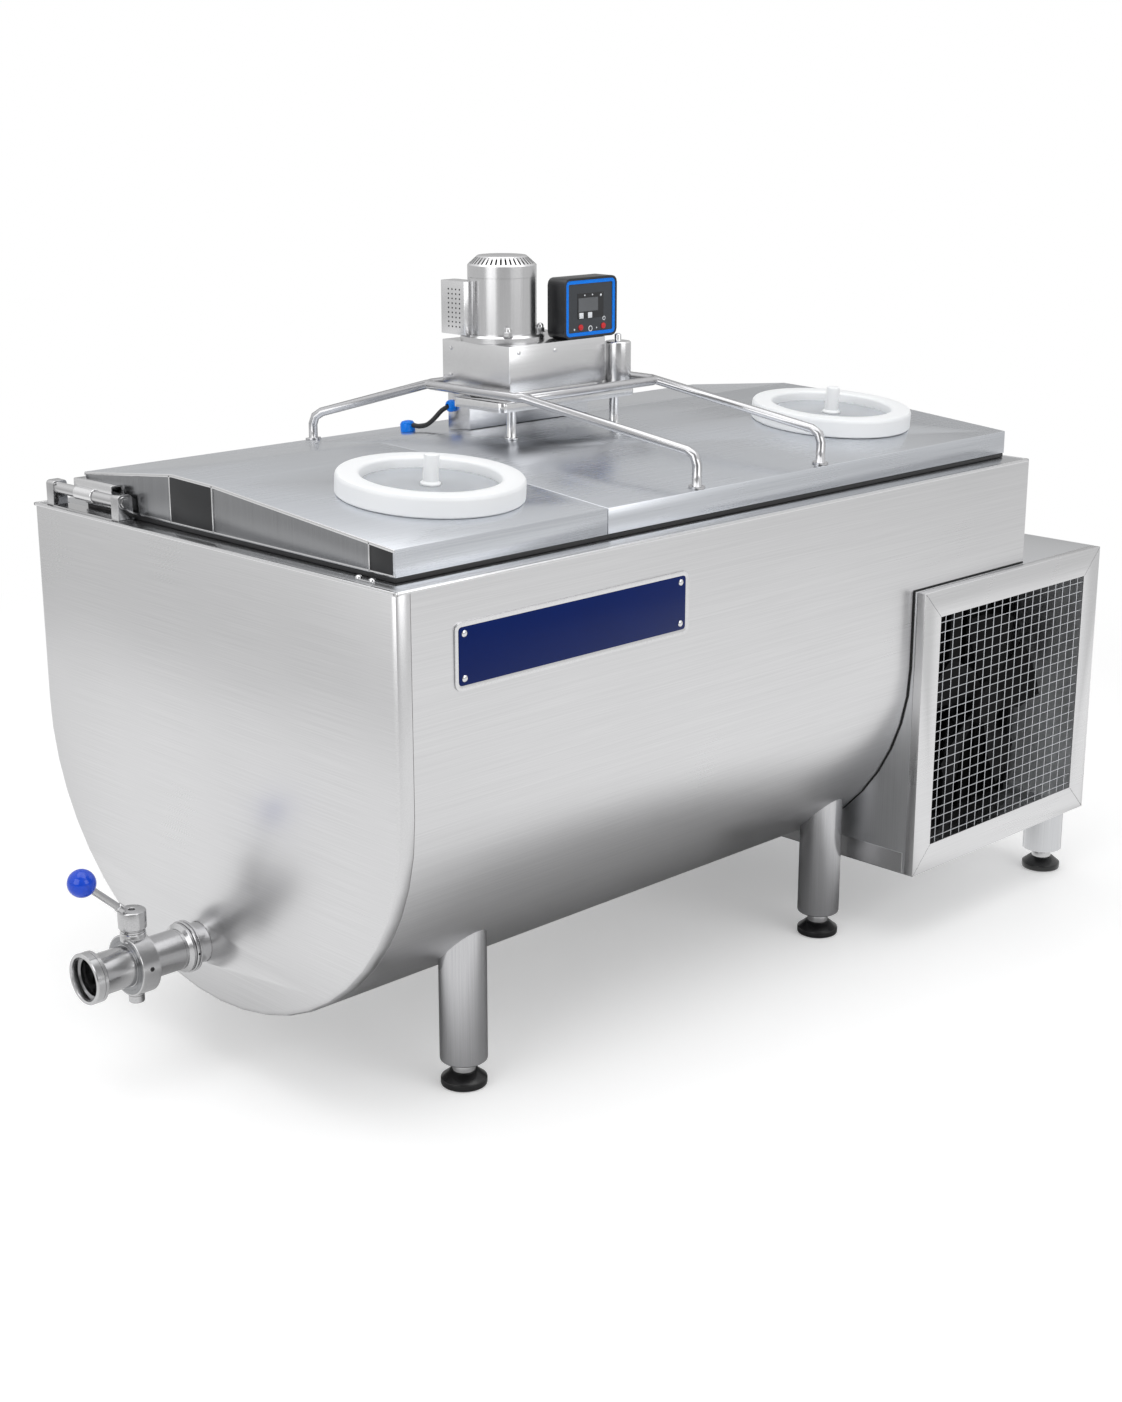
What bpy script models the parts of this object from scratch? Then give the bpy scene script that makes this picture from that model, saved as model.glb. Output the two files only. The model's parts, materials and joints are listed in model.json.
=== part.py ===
"""Milk cooler: an insulated trough tank on adjustable feet, with an agitator drive on its lid,
a butterfly valve at its outlet and an air cooled condensing unit tucked under its rear overhang.

Lengths are in metres. Pieces are modelled in the tank's own frame: X runs from the front head
towards the condensing unit, Y across (the near side is negative) and Z up from the floor.
An empty then carries the whole object so that the middle of its footprint is the origin.
"""

import math
from collections import Counter

import bmesh
import bpy
from mathutils import Matrix, Vector

# Clearances
GAP = 0.0003
SEAM = 0.0015
STEEL_SHEET = 0.0015
CUT_PAST = 0.01

# Sides of round pieces
HEX_SIDES = 6
TUBE_SIDES = 8
ROD_SIDES = 10
PIN_SIDES = 12
FOOT_SIDES = 12
KNOB_SIDES = 14
POST_SIDES = 16
BALL_SIDES = 16
PIPE_SIDES = 20
MOTOR_SIDES = 24

# Tank
RIM_HEIGHT = 0.850
TANK_WIDTH = 0.912
RIM_LENGTH = 1.518
TROUGH_LENGTH = 1.1835
SHELF_HEIGHT = 0.656
STRAIGHT_END = 0.520
BELLY_DEPTH = 0.415
ARC_STEPS = 24
HEAD_DEPTH = 0.026
HEAD_BEVEL = 0.010
HEAD_BEVEL_STEPS = 2
INSULATION = 0.045
VESSEL_WALL = 0.002
DECK_SHEET = 0.0015
DECK_LIP_FRONT = 0.055
DECK_LIP_REAR = 0.055
DECK_LIP_NEAR = 0.061
DECK_LIP_FAR = 0.119
EVAPORATOR_SHEET = 0.003
EVAPORATOR_FRONT = 0.120
EVAPORATOR_FROM_REAR = 0.1235
EVAPORATOR_BARE_STEPS = 1

# Lid
GASKET_HEIGHT = 0.0075
GASKET_WIDTH = 0.012
GASKET_SET_IN = 0.001
LID_MARGIN_FRONT = 0.037
LID_MARGIN_REAR = 0.018
LID_MARGIN_NEAR = 0.043
LID_MARGIN_FAR = 0.101
LID_EDGE_NEAR = 0.048
LID_EDGE_FAR = 0.059
RIDGE_NEAR_Y = 0.007
RIDGE_NEAR_RISE = 0.083
RIDGE_FAR_Y = 0.110
RIDGE_FAR_RISE = 0.086
FRONT_COVER_LENGTH = 0.4175

# Hinge of the front cover
HINGE_X = 0.015
HINGE_RISE = 0.030
HINGE_NEAR_Y = 0.213
HINGE_FAR_Y = 0.420
HINGE_LUG = 0.020
HINGE_LUG_RADIUS = 0.0125
HINGE_LUG_STEPS = 8
HINGE_PLATE = 0.003
HINGE_PLATE_FRONT = 0.003
HINGE_PLATE_REAR = 0.034
HINGE_PIN_RADIUS = 0.005
HINGE_BARREL_RADIUS = 0.0115
HINGE_SLEEVE = 0.050
HINGE_SPRING_RADIUS = 0.0095
HINGE_BOLT_RADIUS = 0.008
HINGE_BOLT_HEAD = 0.004
HINGE_LEAF_SET_IN = 0.0117
HINGE_LEAF_LENGTH = 0.107
HINGE_LEAF_RISE = 0.0225
HINGE_LEAF_DROP = 0.022

# Access hatches
HATCH_PLACES = {"front": (0.279, -0.211), "rear": (1.269, -0.189)}
HATCH_RADIUS = 0.1445
HATCH_HEIGHT = 0.033
HATCH_MOUTH = 0.107
HATCH_COLLAR_INNER = 0.095
HATCH_COLLAR_WALL = 0.002
HATCH_COLLAR_HEIGHT = 0.012
HATCH_LIFT = 0.0006
HATCH_LEDGE = 0.013
HATCH_ROUND = 0.004
WINDOW_THICKNESS = 0.003
KNOB_RADIUS = 0.012
KNOB_FOOT_RADIUS = 0.016
KNOB_FOOT = 0.003
KNOB_NECK = 0.005
KNOB_HEIGHT = 0.047
KNOB_ROUND = 0.0018
HATCH_SIDES = 28

# Guard rail
RAIL_RADIUS = 0.008
RAIL_ARM_SHARE = 0.99
RAIL_RISE = 0.074
RAIL_FRONT = 0.618
RAIL_REAR = 0.950
RAIL_NEAR = -0.060
RAIL_FAR = 0.190
RAIL_SHOULDER_RISE = 0.018
RAIL_BEND = 0.022
RAIL_BEND_STEPS = 2
RAIL_CORNER = 0.018
RAIL_CORNER_STEPS = 2
RAIL_FLANGE_RADIUS = 0.0135
RAIL_FLANGE = 0.003
RAIL_FEET = {
    "front_far": (0.496, 0.345),
    "front_near": (0.670, -0.399),
    "rear_near": (0.980, -0.398),
    "rear_far": (0.900, 0.345),
}

# Agitator drive
SHAFT_X = 0.790
SHAFT_Y = 0.1325
SHAFT_RADIUS = 0.010
PEDESTAL_FRONT = 0.648
PEDESTAL_REAR = 0.938
PEDESTAL_NEAR = 0.105
PEDESTAL_FAR = 0.160
DRIVE_RISE = 0.074
DRIVE_FRONT = 0.645
DRIVE_REAR = 0.874
DRIVE_NEAR = 0.000
DRIVE_FAR = 0.170
DRIVE_HEIGHT = 0.077
DRIVE_WALL = 0.002
DRIVE_EDGE = 0.0025
TRAY_FRONT = 0.607
TRAY_REAR = 0.931
TRAY_NEAR = -0.020
TRAY_DROP = 0.012
TRAY_THICKNESS = 0.016
TRAY_CORNER = 0.012
STANDOFFS = ((0.650, 0.003), (0.890, -0.006))
STANDOFF_RADIUS = 0.0085
STANDOFF_FOOT_RADIUS = 0.0125
STANDOFF_FOOT = 0.003
PAD_FRONT = 0.655
PAD_REAR = 0.865
PAD_DEPTH = 0.040
CANISTER_X = 0.905
CANISTER_Y = 0.000
CANISTER_RADIUS = 0.0232
CANISTER_HEIGHT = 0.0785
CANISTER_STUD_RADIUS = 0.006
CANISTER_STUD = 0.013

# Motor
MOTOR_X = 0.708
MOTOR_Y = 0.085
MOTOR_RADIUS = 0.059
MOTOR_FLANGE_RADIUS = 0.072
MOTOR_FLANGE = 0.0125
MOTOR_FLANGE_ROUND = 0.0035
MOTOR_HEIGHT = 0.095
MOTOR_BOLTS = 4
MOTOR_BOLT_CIRCLE = 0.0655
MOTOR_BOLT_RADIUS = 0.0048
MOTOR_BOLT_HEIGHT = 0.014
MOTOR_BOLT_TURN = math.radians(55)
COWL_SIDE = 0.020
COWL_CONE = 0.015
COWL_TOP_RADIUS = 0.042
COWL_WALL = 0.0015
COWL_LEAN = 1.2
COWL_SLOTS = 10
COWL_SLOT_WIDTH = 0.005
MOTOR_FAN_RADIUS = 0.046
MOTOR_FAN_HUB = 0.012
MOTOR_FAN_BLADES = 5
MOTOR_FAN_DEPTH = 0.010
MOTOR_FAN_LIFT = 0.004
MOTOR_BLADE_THICKNESS = 0.0016
MOTOR_BLADE_WIDTH = 0.009
MOTOR_BLADE_PITCH = math.radians(20)
MOTOR_SHAFT_RADIUS = 0.005
MOTOR_SHAFT_DEPTH = 0.022
TERMINAL_FRONT = 0.630
TERMINAL_DEPTH = 0.034
TERMINAL_NEAR = 0.094
TERMINAL_WIDTH = 0.062
TERMINAL_HEIGHT = 0.089
TERMINAL_EDGE = 0.004
TERMINAL_NOTCH = 0.008

# Control box
CONTROL_FRONT = 0.777
CONTROL_WIDTH = 0.128
CONTROL_NEAR = 0.003
CONTROL_DEPTH = 0.042
CONTROL_HEIGHT = 0.103
CONTROL_CORNER = 0.012
CONTROL_CORNER_LEAST = 0.002
CONTROL_CORNER_STEPS = 3
CONTROL_RIM = 0.004
BEZEL_WIDTH = 0.006
BEZEL_DEPTH = 0.004
BEZEL_SET_BACK = 0.0006
FASCIA_SET_BACK = 0.0016
BUTTON_TRAVEL = 0.002
BUTTON_STAND = 0.0018
BUTTON_LENGTH = 0.0065
BUTTONS = {
    "button_up": (0.0408, 0.0385, 0.0048),
    "button_down": (0.0621, 0.0385, 0.0048),
    "button_start": (0.0401, 0.0185, 0.0052),
    "button_stop": (0.0954, 0.0180, 0.0052),
}

# Agitator
AGITATOR_BOTTOM = 0.285
PADDLE_RADIUS = 0.155
PADDLE_HEIGHT = 0.070
PADDLE_THICKNESS = 0.004
PADDLE_PITCH = math.radians(30)
PADDLE_SHARE = 0.95
PADDLE_HUB_RADIUS = 0.018
PADDLE_HUB_CONE = 0.006
PADDLE_CORNER = 0.018
PADDLE_TURN = math.radians(20)
SHAFT_COLLAR_RADIUS = 0.014
SHAFT_COLLAR = 0.012
SHAFT_TOP_LENGTH = 0.020

# Temperature lead
LEAD_RADIUS = 0.0042
LEAD_ROUTE = (
    (0.6477, 0.1480, 0.9740),
    (0.6440, 0.1480, 0.9740),
    (0.6400, 0.1485, 0.9735),
    (0.6300, 0.1560, 0.9670),
    (0.6235, 0.1700, 0.9510),
    (0.6205, 0.1860, 0.9395),
    (0.6200, 0.2050, 0.9350),
    (0.6200, 0.2170, 0.9350),
    (0.6200, 0.2213, 0.9350),
)
LEAD_STEPS = 3
GLAND_X = 0.620
GLAND_Y = 0.235
GLAND_RADIUS = 0.013
GLAND_HEIGHT = 0.020
GLAND_SHOULDER = 0.014
GLAND_CROWN = 0.0186
GLAND_CROWN_RADIUS = 0.00975
GLAND_TIP_RADIUS = 0.0039

# Outlet and valve
OUTLET_Y = 0.045
OUTLET_Z = 0.197
PIPE_RADIUS = 0.033
PIPE_BORE = 0.0305
CLAMP_RADIUS = 0.042
CLAMP_NEAR_HEAD = 0.022
CLAMP_LENGTH = 0.0105
CLAMP_GROOVE = 0.003
CLAMP_EDGE = 0.001
VALVE_AXIS = 0.1225
VALVE_DISC_RADIUS = 0.049
VALVE_DISC_LENGTH = 0.033
VALVE_DISC_EDGE = 0.002
FERRULE_RADIUS = 0.040
FERRULE = 0.006
FERRULE_CONE = 0.003
UNION_START = 0.194
UNION_LENGTH = 0.0206
UNION_RADIUS = 0.041
UNION_COUNTERBORE = 0.0345
UNION_STEP = 0.014
UNION_EDGE = 0.0012
BUTTERFLY_RADIUS = 0.0300
BUTTERFLY_THICKNESS = 0.004
STEM_RADIUS = 0.005
VALVE_COLLAR_RADIUS = 0.020
VALVE_COLLAR_TOP = 0.053
VALVE_BOSS_RADIUS = 0.0128
VALVE_BOSS_BOTTOM = 0.064
CAP_RADIUS = 0.0224
CAP_HEIGHT = 0.0365
CAP_SOCKET_RADIUS = 0.008
CAP_SOCKET = 0.008
CAP_EDGE = 0.0015
STEM_IN_CAP = 0.016
LEVER_ROD_RADIUS = 0.0058
LEVER_REACH = 0.0845
LEVER_RISE = 0.155
LEVER_ROOT_RISE = 0.078
BALL_RADIUS = 0.0222
BALL_SOCKET = 0.012
BALL_RINGS = 7

# Nameplate
PLATE_FRONT = 0.104
PLATE_LENGTH = 0.486
PLATE_BOTTOM = 0.690
PLATE_HEIGHT = 0.100
PLATE_THICKNESS = 0.0025
PLATE_BORDER = 0.007
PLATE_BORDER_RISE = 0.0015
PLATE_CORNER = 0.012

# Legs and feet
LEG_RADIUS = 0.038
LEG_WALL = 0.0025
LEG_BOTTOM = 0.042
LEG_END_PLATE = 0.008
LEG_SPREAD = 0.324
LEG_FRONT_X = 0.230
LEG_MID_FROM_REAR = 0.0715
LEG_BLANK_TOP = 0.400
UNIT_LEG_FROM_REAR = 0.046
UNIT_LEG_FROM_SIDE = 0.0565
FOOT_RADIUS = 0.037
FOOT_EDGE = 0.012
FOOT_CHAMFER = 0.003
FOOT_SHOULDER_RADIUS = 0.030
FOOT_SHOULDER = 0.022
FOOT_NECK_RADIUS = 0.0188
FOOT_NECK_START = 0.024
FOOT_STEM_RADIUS = 0.010
FOOT_STEM_TOP = 0.095

# Condensing unit
UNIT_LENGTH = 0.5622
UNIT_WIDTH = 0.960
UNIT_BOTTOM = 0.130
UNIT_WALL = 0.002
LOUVRES = 6
LOUVRE_HEIGHT = 0.014
LOUVRE_PITCH = 0.048
LOUVRE_MARGIN = 0.070
LOUVRE_START = 0.240
GRILLE_BORDER = 0.050
GRILLE_DEPTH = 0.018
MESH_COLUMNS = 7
MESH_ROWS = 6
MESH_BAR = 0.003
MESH_WIRE = 0.002
MESH_HOLD = 0.008
FAN_FROM_FRONT = 0.2822
FAN_Z = 0.390
FAN_SET_BACK = 0.060
FAN_RADIUS = 0.170
FAN_HUB_RADIUS = 0.045
FAN_HUB_DEPTH = 0.036
FAN_BLADES = 5
FAN_BLADE_ROOT = math.radians(26)
FAN_BLADE_TIP = math.radians(19)
FAN_BLADE_PITCH = math.radians(24)
FAN_BLADE_SWEEP = math.radians(14)
FAN_BLADE_TWIST = 0.45
FAN_BLADE_STEPS = 2
FAN_BLADE_ROOT_SHARE = 0.85
FAN_BLADE_THICKNESS = 0.0024
FAN_SHAFT_RADIUS = 0.006
FAN_SHAFT_GRIP = 0.024
FAN_MOTOR_RADIUS = 0.052
FAN_MOTOR_SET_BACK = 0.093
FAN_MOTOR_LENGTH = 0.068
FAN_STRAP_WIDTH = 0.036
FAN_STRAP_THICKNESS = 0.005
COIL_SET_BACK = 0.168
COIL_DEPTH = 0.052
COIL_FROM_FRONT = 0.0282
COIL_LENGTH = 0.508
COIL_HEIGHT = 0.480
COIL_END_PLATE = 0.014
COIL_FINS = 9
COIL_FIN_DEPTH = 0.010
COIL_FIN_THICKNESS = 0.004
COMPRESSOR_FROM_FRONT = 0.2162
COMPRESSOR_SET_BACK = 0.580
COMPRESSOR_RADIUS = 0.090
COMPRESSOR_PLATE = 0.105
COMPRESSOR_HEIGHT = 0.235
COMPRESSOR_PLATE_THICKNESS = 0.006
COMPRESSOR_FOOT_RADIUS = 0.054
COMPRESSOR_FOOT = 0.020
COMPRESSOR_SIDE_START = 0.040
COMPRESSOR_DOME = 0.060
COMPRESSOR_DOME_RADIUS = 0.072
COMPRESSOR_CROWN = 0.020
COMPRESSOR_CROWN_RADIUS = 0.0315
LINE_RADIUS = 0.006
LINE_RISE = 0.300
LINE_BEND = 0.030
LINE_BEND_STEPS = 2

# What follows is worked out from the sizes above.
HALF_WIDTH = TANK_WIDTH / 2
SECTION_POINTS = ARC_STEPS + 5
DECK_BOTTOM = RIM_HEIGHT - DECK_SHEET
WALL_TOP = DECK_BOTTOM - GAP
LID_BASE = RIM_HEIGHT + GASKET_HEIGHT + 2 * GAP
LID_FRONT = LID_MARGIN_FRONT
LID_REAR = RIM_LENGTH - LID_MARGIN_REAR
LID_NEAR = -HALF_WIDTH + LID_MARGIN_NEAR
LID_FAR = HALF_WIDTH - LID_MARGIN_FAR
LID_PROFILE = (
    (LID_NEAR, RIM_HEIGHT + LID_EDGE_NEAR),
    (RIDGE_NEAR_Y, RIM_HEIGHT + RIDGE_NEAR_RISE),
    (RIDGE_FAR_Y, RIM_HEIGHT + RIDGE_FAR_RISE),
    (LID_FAR, RIM_HEIGHT + LID_EDGE_FAR),
)
FRONT_COVER_REAR = LID_FRONT + FRONT_COVER_LENGTH
FIXED_COVER_FRONT = FRONT_COVER_REAR + SEAM
HINGE_Z = RIM_HEIGHT + HINGE_RISE
RIDGE_TOP = RIM_HEIGHT + RIDGE_FAR_RISE
RAIL_HEIGHT = RIDGE_TOP + RAIL_RISE
RAIL_SHOULDER = RIDGE_TOP + RAIL_SHOULDER_RISE
DRIVE_BASE = RIDGE_TOP + DRIVE_RISE
TRAY_TOP = DRIVE_BASE - TRAY_DROP
DRIVE_TOP = DRIVE_BASE + DRIVE_HEIGHT
MOTOR_BASE = DRIVE_TOP + GAP
MOTOR_TOP = MOTOR_BASE + MOTOR_FLANGE + MOTOR_HEIGHT
CONTROL_BASE = DRIVE_TOP + GAP
BUTTON_POCKET = BUTTON_LENGTH - BUTTON_STAND + BUTTON_TRAVEL + GAP
UNIT_FRONT = TROUGH_LENGTH + GAP
UNIT_REAR = UNIT_FRONT + UNIT_LENGTH
UNIT_NEAR = -UNIT_WIDTH / 2
UNIT_LEG_X = UNIT_REAR - UNIT_LEG_FROM_REAR
UNIT_LEG_SPREAD = UNIT_WIDTH / 2 - UNIT_LEG_FROM_SIDE
LEG_MID_X = TROUGH_LENGTH - LEG_MID_FROM_REAR
EVAPORATOR_REAR = TROUGH_LENGTH - EVAPORATOR_FROM_REAR
FAN_X = UNIT_FRONT + FAN_FROM_FRONT
FAN_Y = UNIT_NEAR + FAN_SET_BACK
FAN_MOTOR_FRONT = UNIT_NEAR + FAN_MOTOR_SET_BACK
COIL_FRONT_Y = UNIT_NEAR + COIL_SET_BACK
COIL_START = UNIT_FRONT + COIL_FROM_FRONT
COMPRESSOR_X = UNIT_FRONT + COMPRESSOR_FROM_FRONT
COMPRESSOR_Y = UNIT_NEAR + COMPRESSOR_SET_BACK
UNIT_TOP = SHELF_HEIGHT - GAP
UNIT_FLOOR = UNIT_BOTTOM + UNIT_WALL
VALVE_REACH = VALVE_AXIS + LEVER_REACH + BALL_RADIUS
ORIGIN_X = (VALVE_REACH - UNIT_REAR) / 2

ROOT = None


def clear_scene():
    """Empties the file that the script runs in."""
    for item in list(bpy.data.objects):
        bpy.data.objects.remove(item, do_unlink=True)
    for mesh in list(bpy.data.meshes):
        bpy.data.meshes.remove(mesh)
    for curve in list(bpy.data.curves):
        bpy.data.curves.remove(curve)
    for finish in list(bpy.data.materials):
        bpy.data.materials.remove(finish)


def make_root():
    """The empty that carries every piece and sets the object's origin."""
    root = bpy.data.objects.new("milk_cooler", None)
    root.location = (ORIGIN_X, 0, 0)
    bpy.context.scene.collection.objects.link(root)
    return root


def linear(channel):
    """One sRGB channel, 0 to 255, as linear light."""
    value = channel / 255
    return value / 12.92 if value <= 0.04045 else ((value + 0.055) / 1.055) ** 2.4


def finish(name, colour, metallic, roughness):
    """A Principled material from an sRGB colour."""
    made = bpy.data.materials.get(name) or bpy.data.materials.new(name)
    made.use_nodes = True
    shader = made.node_tree.nodes["Principled BSDF"]
    shader.inputs["Base Color"].default_value = (*(linear(part) for part in colour), 1.0)
    shader.inputs["Metallic"].default_value = metallic
    shader.inputs["Roughness"].default_value = roughness
    return made


def brushed_steel(name):
    return finish(f"brushed_steel_{name}", (190, 192, 196), 1.0, 0.32)


def polished_steel(name):
    return finish(f"polished_steel_{name}", (205, 207, 210), 1.0, 0.18)


def white_plastic(name):
    return finish(f"white_plastic_{name}", (236, 238, 240), 0.0, 0.35)


def dark_plastic(name):
    return finish(f"dark_plastic_{name}", (38, 40, 43), 0.0, 0.45)


def blue_plastic(name):
    return finish(f"blue_plastic_{name}", (12, 112, 232), 0.0, 0.3)


def red_plastic(name):
    return finish(f"red_plastic_{name}", (205, 32, 36), 0.0, 0.35)


def black_rubber(name):
    return finish(f"black_rubber_{name}", (22, 22, 24), 0.0, 0.7)


def add_piece(name, bm, look, origin=(0, 0, 0), smooth=False, rotation=None):
    """Turns a bmesh into a named object under the root, with its origin where asked."""
    mesh = bpy.data.meshes.new(name)
    bmesh.ops.recalc_face_normals(bm, faces=bm.faces)
    if bm.calc_volume(signed=True) < 0:
        bmesh.ops.reverse_faces(bm, faces=bm.faces)
    place = Matrix.Translation(origin)
    if rotation is not None:
        place = place @ rotation.to_4x4()
    bmesh.ops.transform(bm, matrix=place.inverted(), verts=bm.verts)
    bm.to_mesh(mesh)
    bm.free()
    if look is not None:
        mesh.materials.append(look)
    if smooth:
        mesh.shade_smooth()
        mesh.set_sharp_from_angle(angle=math.radians(32))
    piece = bpy.data.objects.new(name, mesh)
    piece.parent = ROOT
    piece.matrix_local = place
    bpy.context.scene.collection.objects.link(piece)
    return piece


def add_cutter(name, bm):
    """A helper body for Boolean work, drawn as wires and left out of the object."""
    helper = add_piece(name, bm, None)
    helper.hide_render = True
    helper.display_type = "WIRE"
    return helper


def combine(piece, helper, operation):
    """Joins a helper body to a piece, or takes it away, with the exact solver."""
    modifier = piece.modifiers.new(helper.name, "BOOLEAN")
    modifier.operation = operation
    modifier.solver = "EXACT"
    modifier.object = helper


def cut(piece, *helpers):
    for helper in helpers:
        combine(piece, helper, "DIFFERENCE")


def join(piece, *helpers):
    for helper in helpers:
        combine(piece, helper, "UNION")


def body_from(points, faces):
    """A bmesh from numbered points and faces."""
    bm = bmesh.new()
    verts = [bm.verts.new(point) for point in points]
    for face in faces:
        bm.faces.new([verts[number] for number in face])
    return bm


def sheet_from(outer, inner, faces):
    """Folded sheet: an outer skin, the same skin set in, and a wall round every free edge."""
    count = len(outer)
    used = Counter()
    for face in faces:
        for start, end in zip(face, face[1:] + face[:1]):
            used[frozenset((start, end))] += 1
    walls = []
    for face in faces:
        for start, end in zip(face, face[1:] + face[:1]):
            if used[frozenset((start, end))] == 1:
                walls.append((end, start, start + count, end + count))
    backs = [tuple(number + count for number in reversed(face)) for face in faces]
    return body_from(list(outer) + list(inner), faces + backs + walls)


def box(low, high, edge=0.0, steps=2):
    """A block between two corners, with its upright edges rounded if asked."""
    bm = bmesh.new()
    bmesh.ops.create_cube(bm, size=1.0)
    size = Vector(high) - Vector(low)
    middle = (Vector(high) + Vector(low)) / 2
    bmesh.ops.scale(bm, vec=size, verts=bm.verts)
    bmesh.ops.translate(bm, vec=middle, verts=bm.verts)
    if edge > 0:
        upright = [
            item
            for item in bm.edges
            if abs(item.verts[0].co.z - item.verts[1].co.z) > size.z / 2
        ]
        bmesh.ops.bevel(
            bm, geom=upright, offset=edge, offset_type="OFFSET", segments=steps, profile=0.5, affect="EDGES"
        )
    return bm


def turned(profile, sides, place=None, closed=False):
    """A body turned about Z from (radius, height) points, then put in place."""
    bm = bmesh.new()
    verts = [bm.verts.new((radius, 0, height)) for radius, height in profile]
    pairs = list(zip(verts, verts[1:]))
    if closed:
        pairs.append((verts[-1], verts[0]))
    edges = [bm.edges.new(pair) for pair in pairs if max(pair[0].co.x, pair[1].co.x) > 0]
    bmesh.ops.spin(
        bm,
        geom=verts + edges,
        cent=(0, 0, 0),
        axis=(0, 0, 1),
        dvec=(0, 0, 0),
        angle=math.tau,
        steps=sides,
        use_merge=True,
        use_duplicate=False,
    )
    bmesh.ops.remove_doubles(bm, verts=bm.verts, dist=1e-6)
    bmesh.ops.dissolve_degenerate(bm, edges=bm.edges, dist=1e-6)
    if place is not None:
        bmesh.ops.transform(bm, matrix=place, verts=bm.verts)
    return bm


def cylinder(radius, low, high, sides, place=None):
    return turned(((0, low), (radius, low), (radius, high), (0, high)), sides, place)


def along_x(x, y, z):
    """Places a turned body so that its height runs towards the front of the tank."""
    return Matrix.Translation((x, y, z)) @ Matrix.Rotation(math.radians(-90), 4, "Y")


def along_y(x, y, z):
    """Places a turned body so that its height runs away from the near side."""
    return Matrix.Translation((x, y, z)) @ Matrix.Rotation(math.radians(-90), 4, "X")


def merged(*bodies):
    """Several bmesh bodies that don't meet, as one helper."""
    whole = bodies[0]
    for other in bodies[1:]:
        spare = bpy.data.meshes.new("spare")
        other.to_mesh(spare)
        other.free()
        whole.from_mesh(spare)
        bpy.data.meshes.remove(spare)
    return whole


def rounded_rectangle(left, right, low, high, corner, steps=4):
    """Corner rounded outline, anticlockwise, as (u, v) points."""
    if corner <= 0:
        return [(left, low), (right, low), (right, high), (left, high)]
    centres = (
        (right - corner, low + corner, -90),
        (right - corner, high - corner, 0),
        (left + corner, high - corner, 90),
        (left + corner, low + corner, 180),
    )
    outline = []
    for u, v, start in centres:
        for step in range(steps + 1):
            angle = math.radians(start + 90 * step / steps)
            outline.append((u + corner * math.cos(angle), v + corner * math.sin(angle)))
    return outline


def plate(outline, low, high, axis):
    """An outline drawn out along an axis: u, v are the two other axes in order."""

    def at(u, v, level):
        return {"X": (level, u, v), "Y": (u, level, v), "Z": (u, v, level)}[axis]

    bm = bmesh.new()
    face = bm.faces.new([bm.verts.new(at(u, v, low)) for u, v in outline])
    grown = bmesh.ops.extrude_face_region(bm, geom=[face])
    moved = [item for item in grown["geom"] if isinstance(item, bmesh.types.BMVert)]
    bmesh.ops.translate(bm, vec=Vector(at(0, 0, high)) - Vector(at(0, 0, low)), verts=moved)
    return bm


def loops_body(loops, wrap):
    """Skins equal loops one after the other. A wrapped body ends where it began."""
    size = len(loops[0])
    points = [point for loop in loops for point in loop]
    faces = []
    last = len(loops) if wrap else len(loops) - 1
    for row in range(last):
        here = row * size
        there = (row + 1) % len(loops) * size
        for step in range(size):
            after = (step + 1) % size
            faces.append((here + step, here + after, there + after, there + step))
    if not wrap:
        faces.append(tuple(range(size)))
        faces.append(tuple(range(len(points) - size, len(points))))
    return body_from(points, faces)


def rounded_path(corners, radius, steps, closed=False):
    """A path with an arc at each bend."""
    points = [Vector(corner) for corner in corners]
    count = len(points)
    path = []
    for number, point in enumerate(points):
        if not closed and number in (0, count - 1):
            path.append(point)
            continue
        before = (points[number - 1] - point).normalized()
        after = (points[(number + 1) % count] - point).normalized()
        half = before.angle(after) / 2
        back = radius / math.tan(half)
        centre = point + (before + after).normalized() * math.hypot(radius, back)
        start = (point + before * back - centre).normalized()
        end = (point + after * back - centre).normalized()
        for step in range(steps + 1):
            path.append(centre + start.slerp(end, step / steps) * radius)
    return path


def tube(path, radius, sides, closed=False):
    """A round bar along a path."""
    count = len(path)
    loops = []
    normal = None
    for number, point in enumerate(path):
        if closed:
            before = path[number - 1]
            after = path[(number + 1) % count]
        else:
            before = path[max(number - 1, 0)]
            after = path[min(number + 1, count - 1)]
        along = ((point - before).normalized() + (after - point).normalized()).normalized()
        if normal is None:
            normal = Vector((0, 0, 1)) if abs(along.z) < 0.9 else Vector((1, 0, 0))
        normal = (normal - along * normal.dot(along)).normalized()
        side = along.cross(normal)
        loops.append(
            [
                point
                + radius * math.cos(math.tau * step / sides) * normal
                + radius * math.sin(math.tau * step / sides) * side
                for step in range(sides)
            ]
        )
    return loops_body(loops, closed)


def smooth_path(route, steps):
    """Points of a smooth curve that passes through a route."""
    points = [Vector(point) for point in route]
    ends = [2 * points[0] - points[1], *points, 2 * points[-1] - points[-2]]
    path = []
    for number in range(1, len(ends) - 2):
        p0, p1, p2, p3 = ends[number - 1 : number + 3]
        for step in range(steps):
            t = step / steps
            path.append(
                0.5
                * (
                    2 * p1
                    + (p2 - p0) * t
                    + (2 * p0 - 5 * p1 + 4 * p2 - p3) * t * t
                    + (3 * p1 - p0 - 3 * p2 + p3) * t * t * t
                )
            )
    path.append(points[-1])
    return path


def section(x, inset, set_up):
    """The trough's outline at one station: straight sides over half an ellipse, near top first."""
    half = HALF_WIDTH - inset
    depth = BELLY_DEPTH - inset
    points = [(x, -half, WALL_TOP), (x, -half, SHELF_HEIGHT + set_up)]
    for step in range(ARC_STEPS + 1):
        angle = math.pi * step / ARC_STEPS
        points.append((x, -half * math.cos(angle), STRAIGHT_END - depth * math.sin(angle)))
    points.append((x, half, SHELF_HEIGHT + set_up))
    points.append((x, half, WALL_TOP))
    return points


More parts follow.
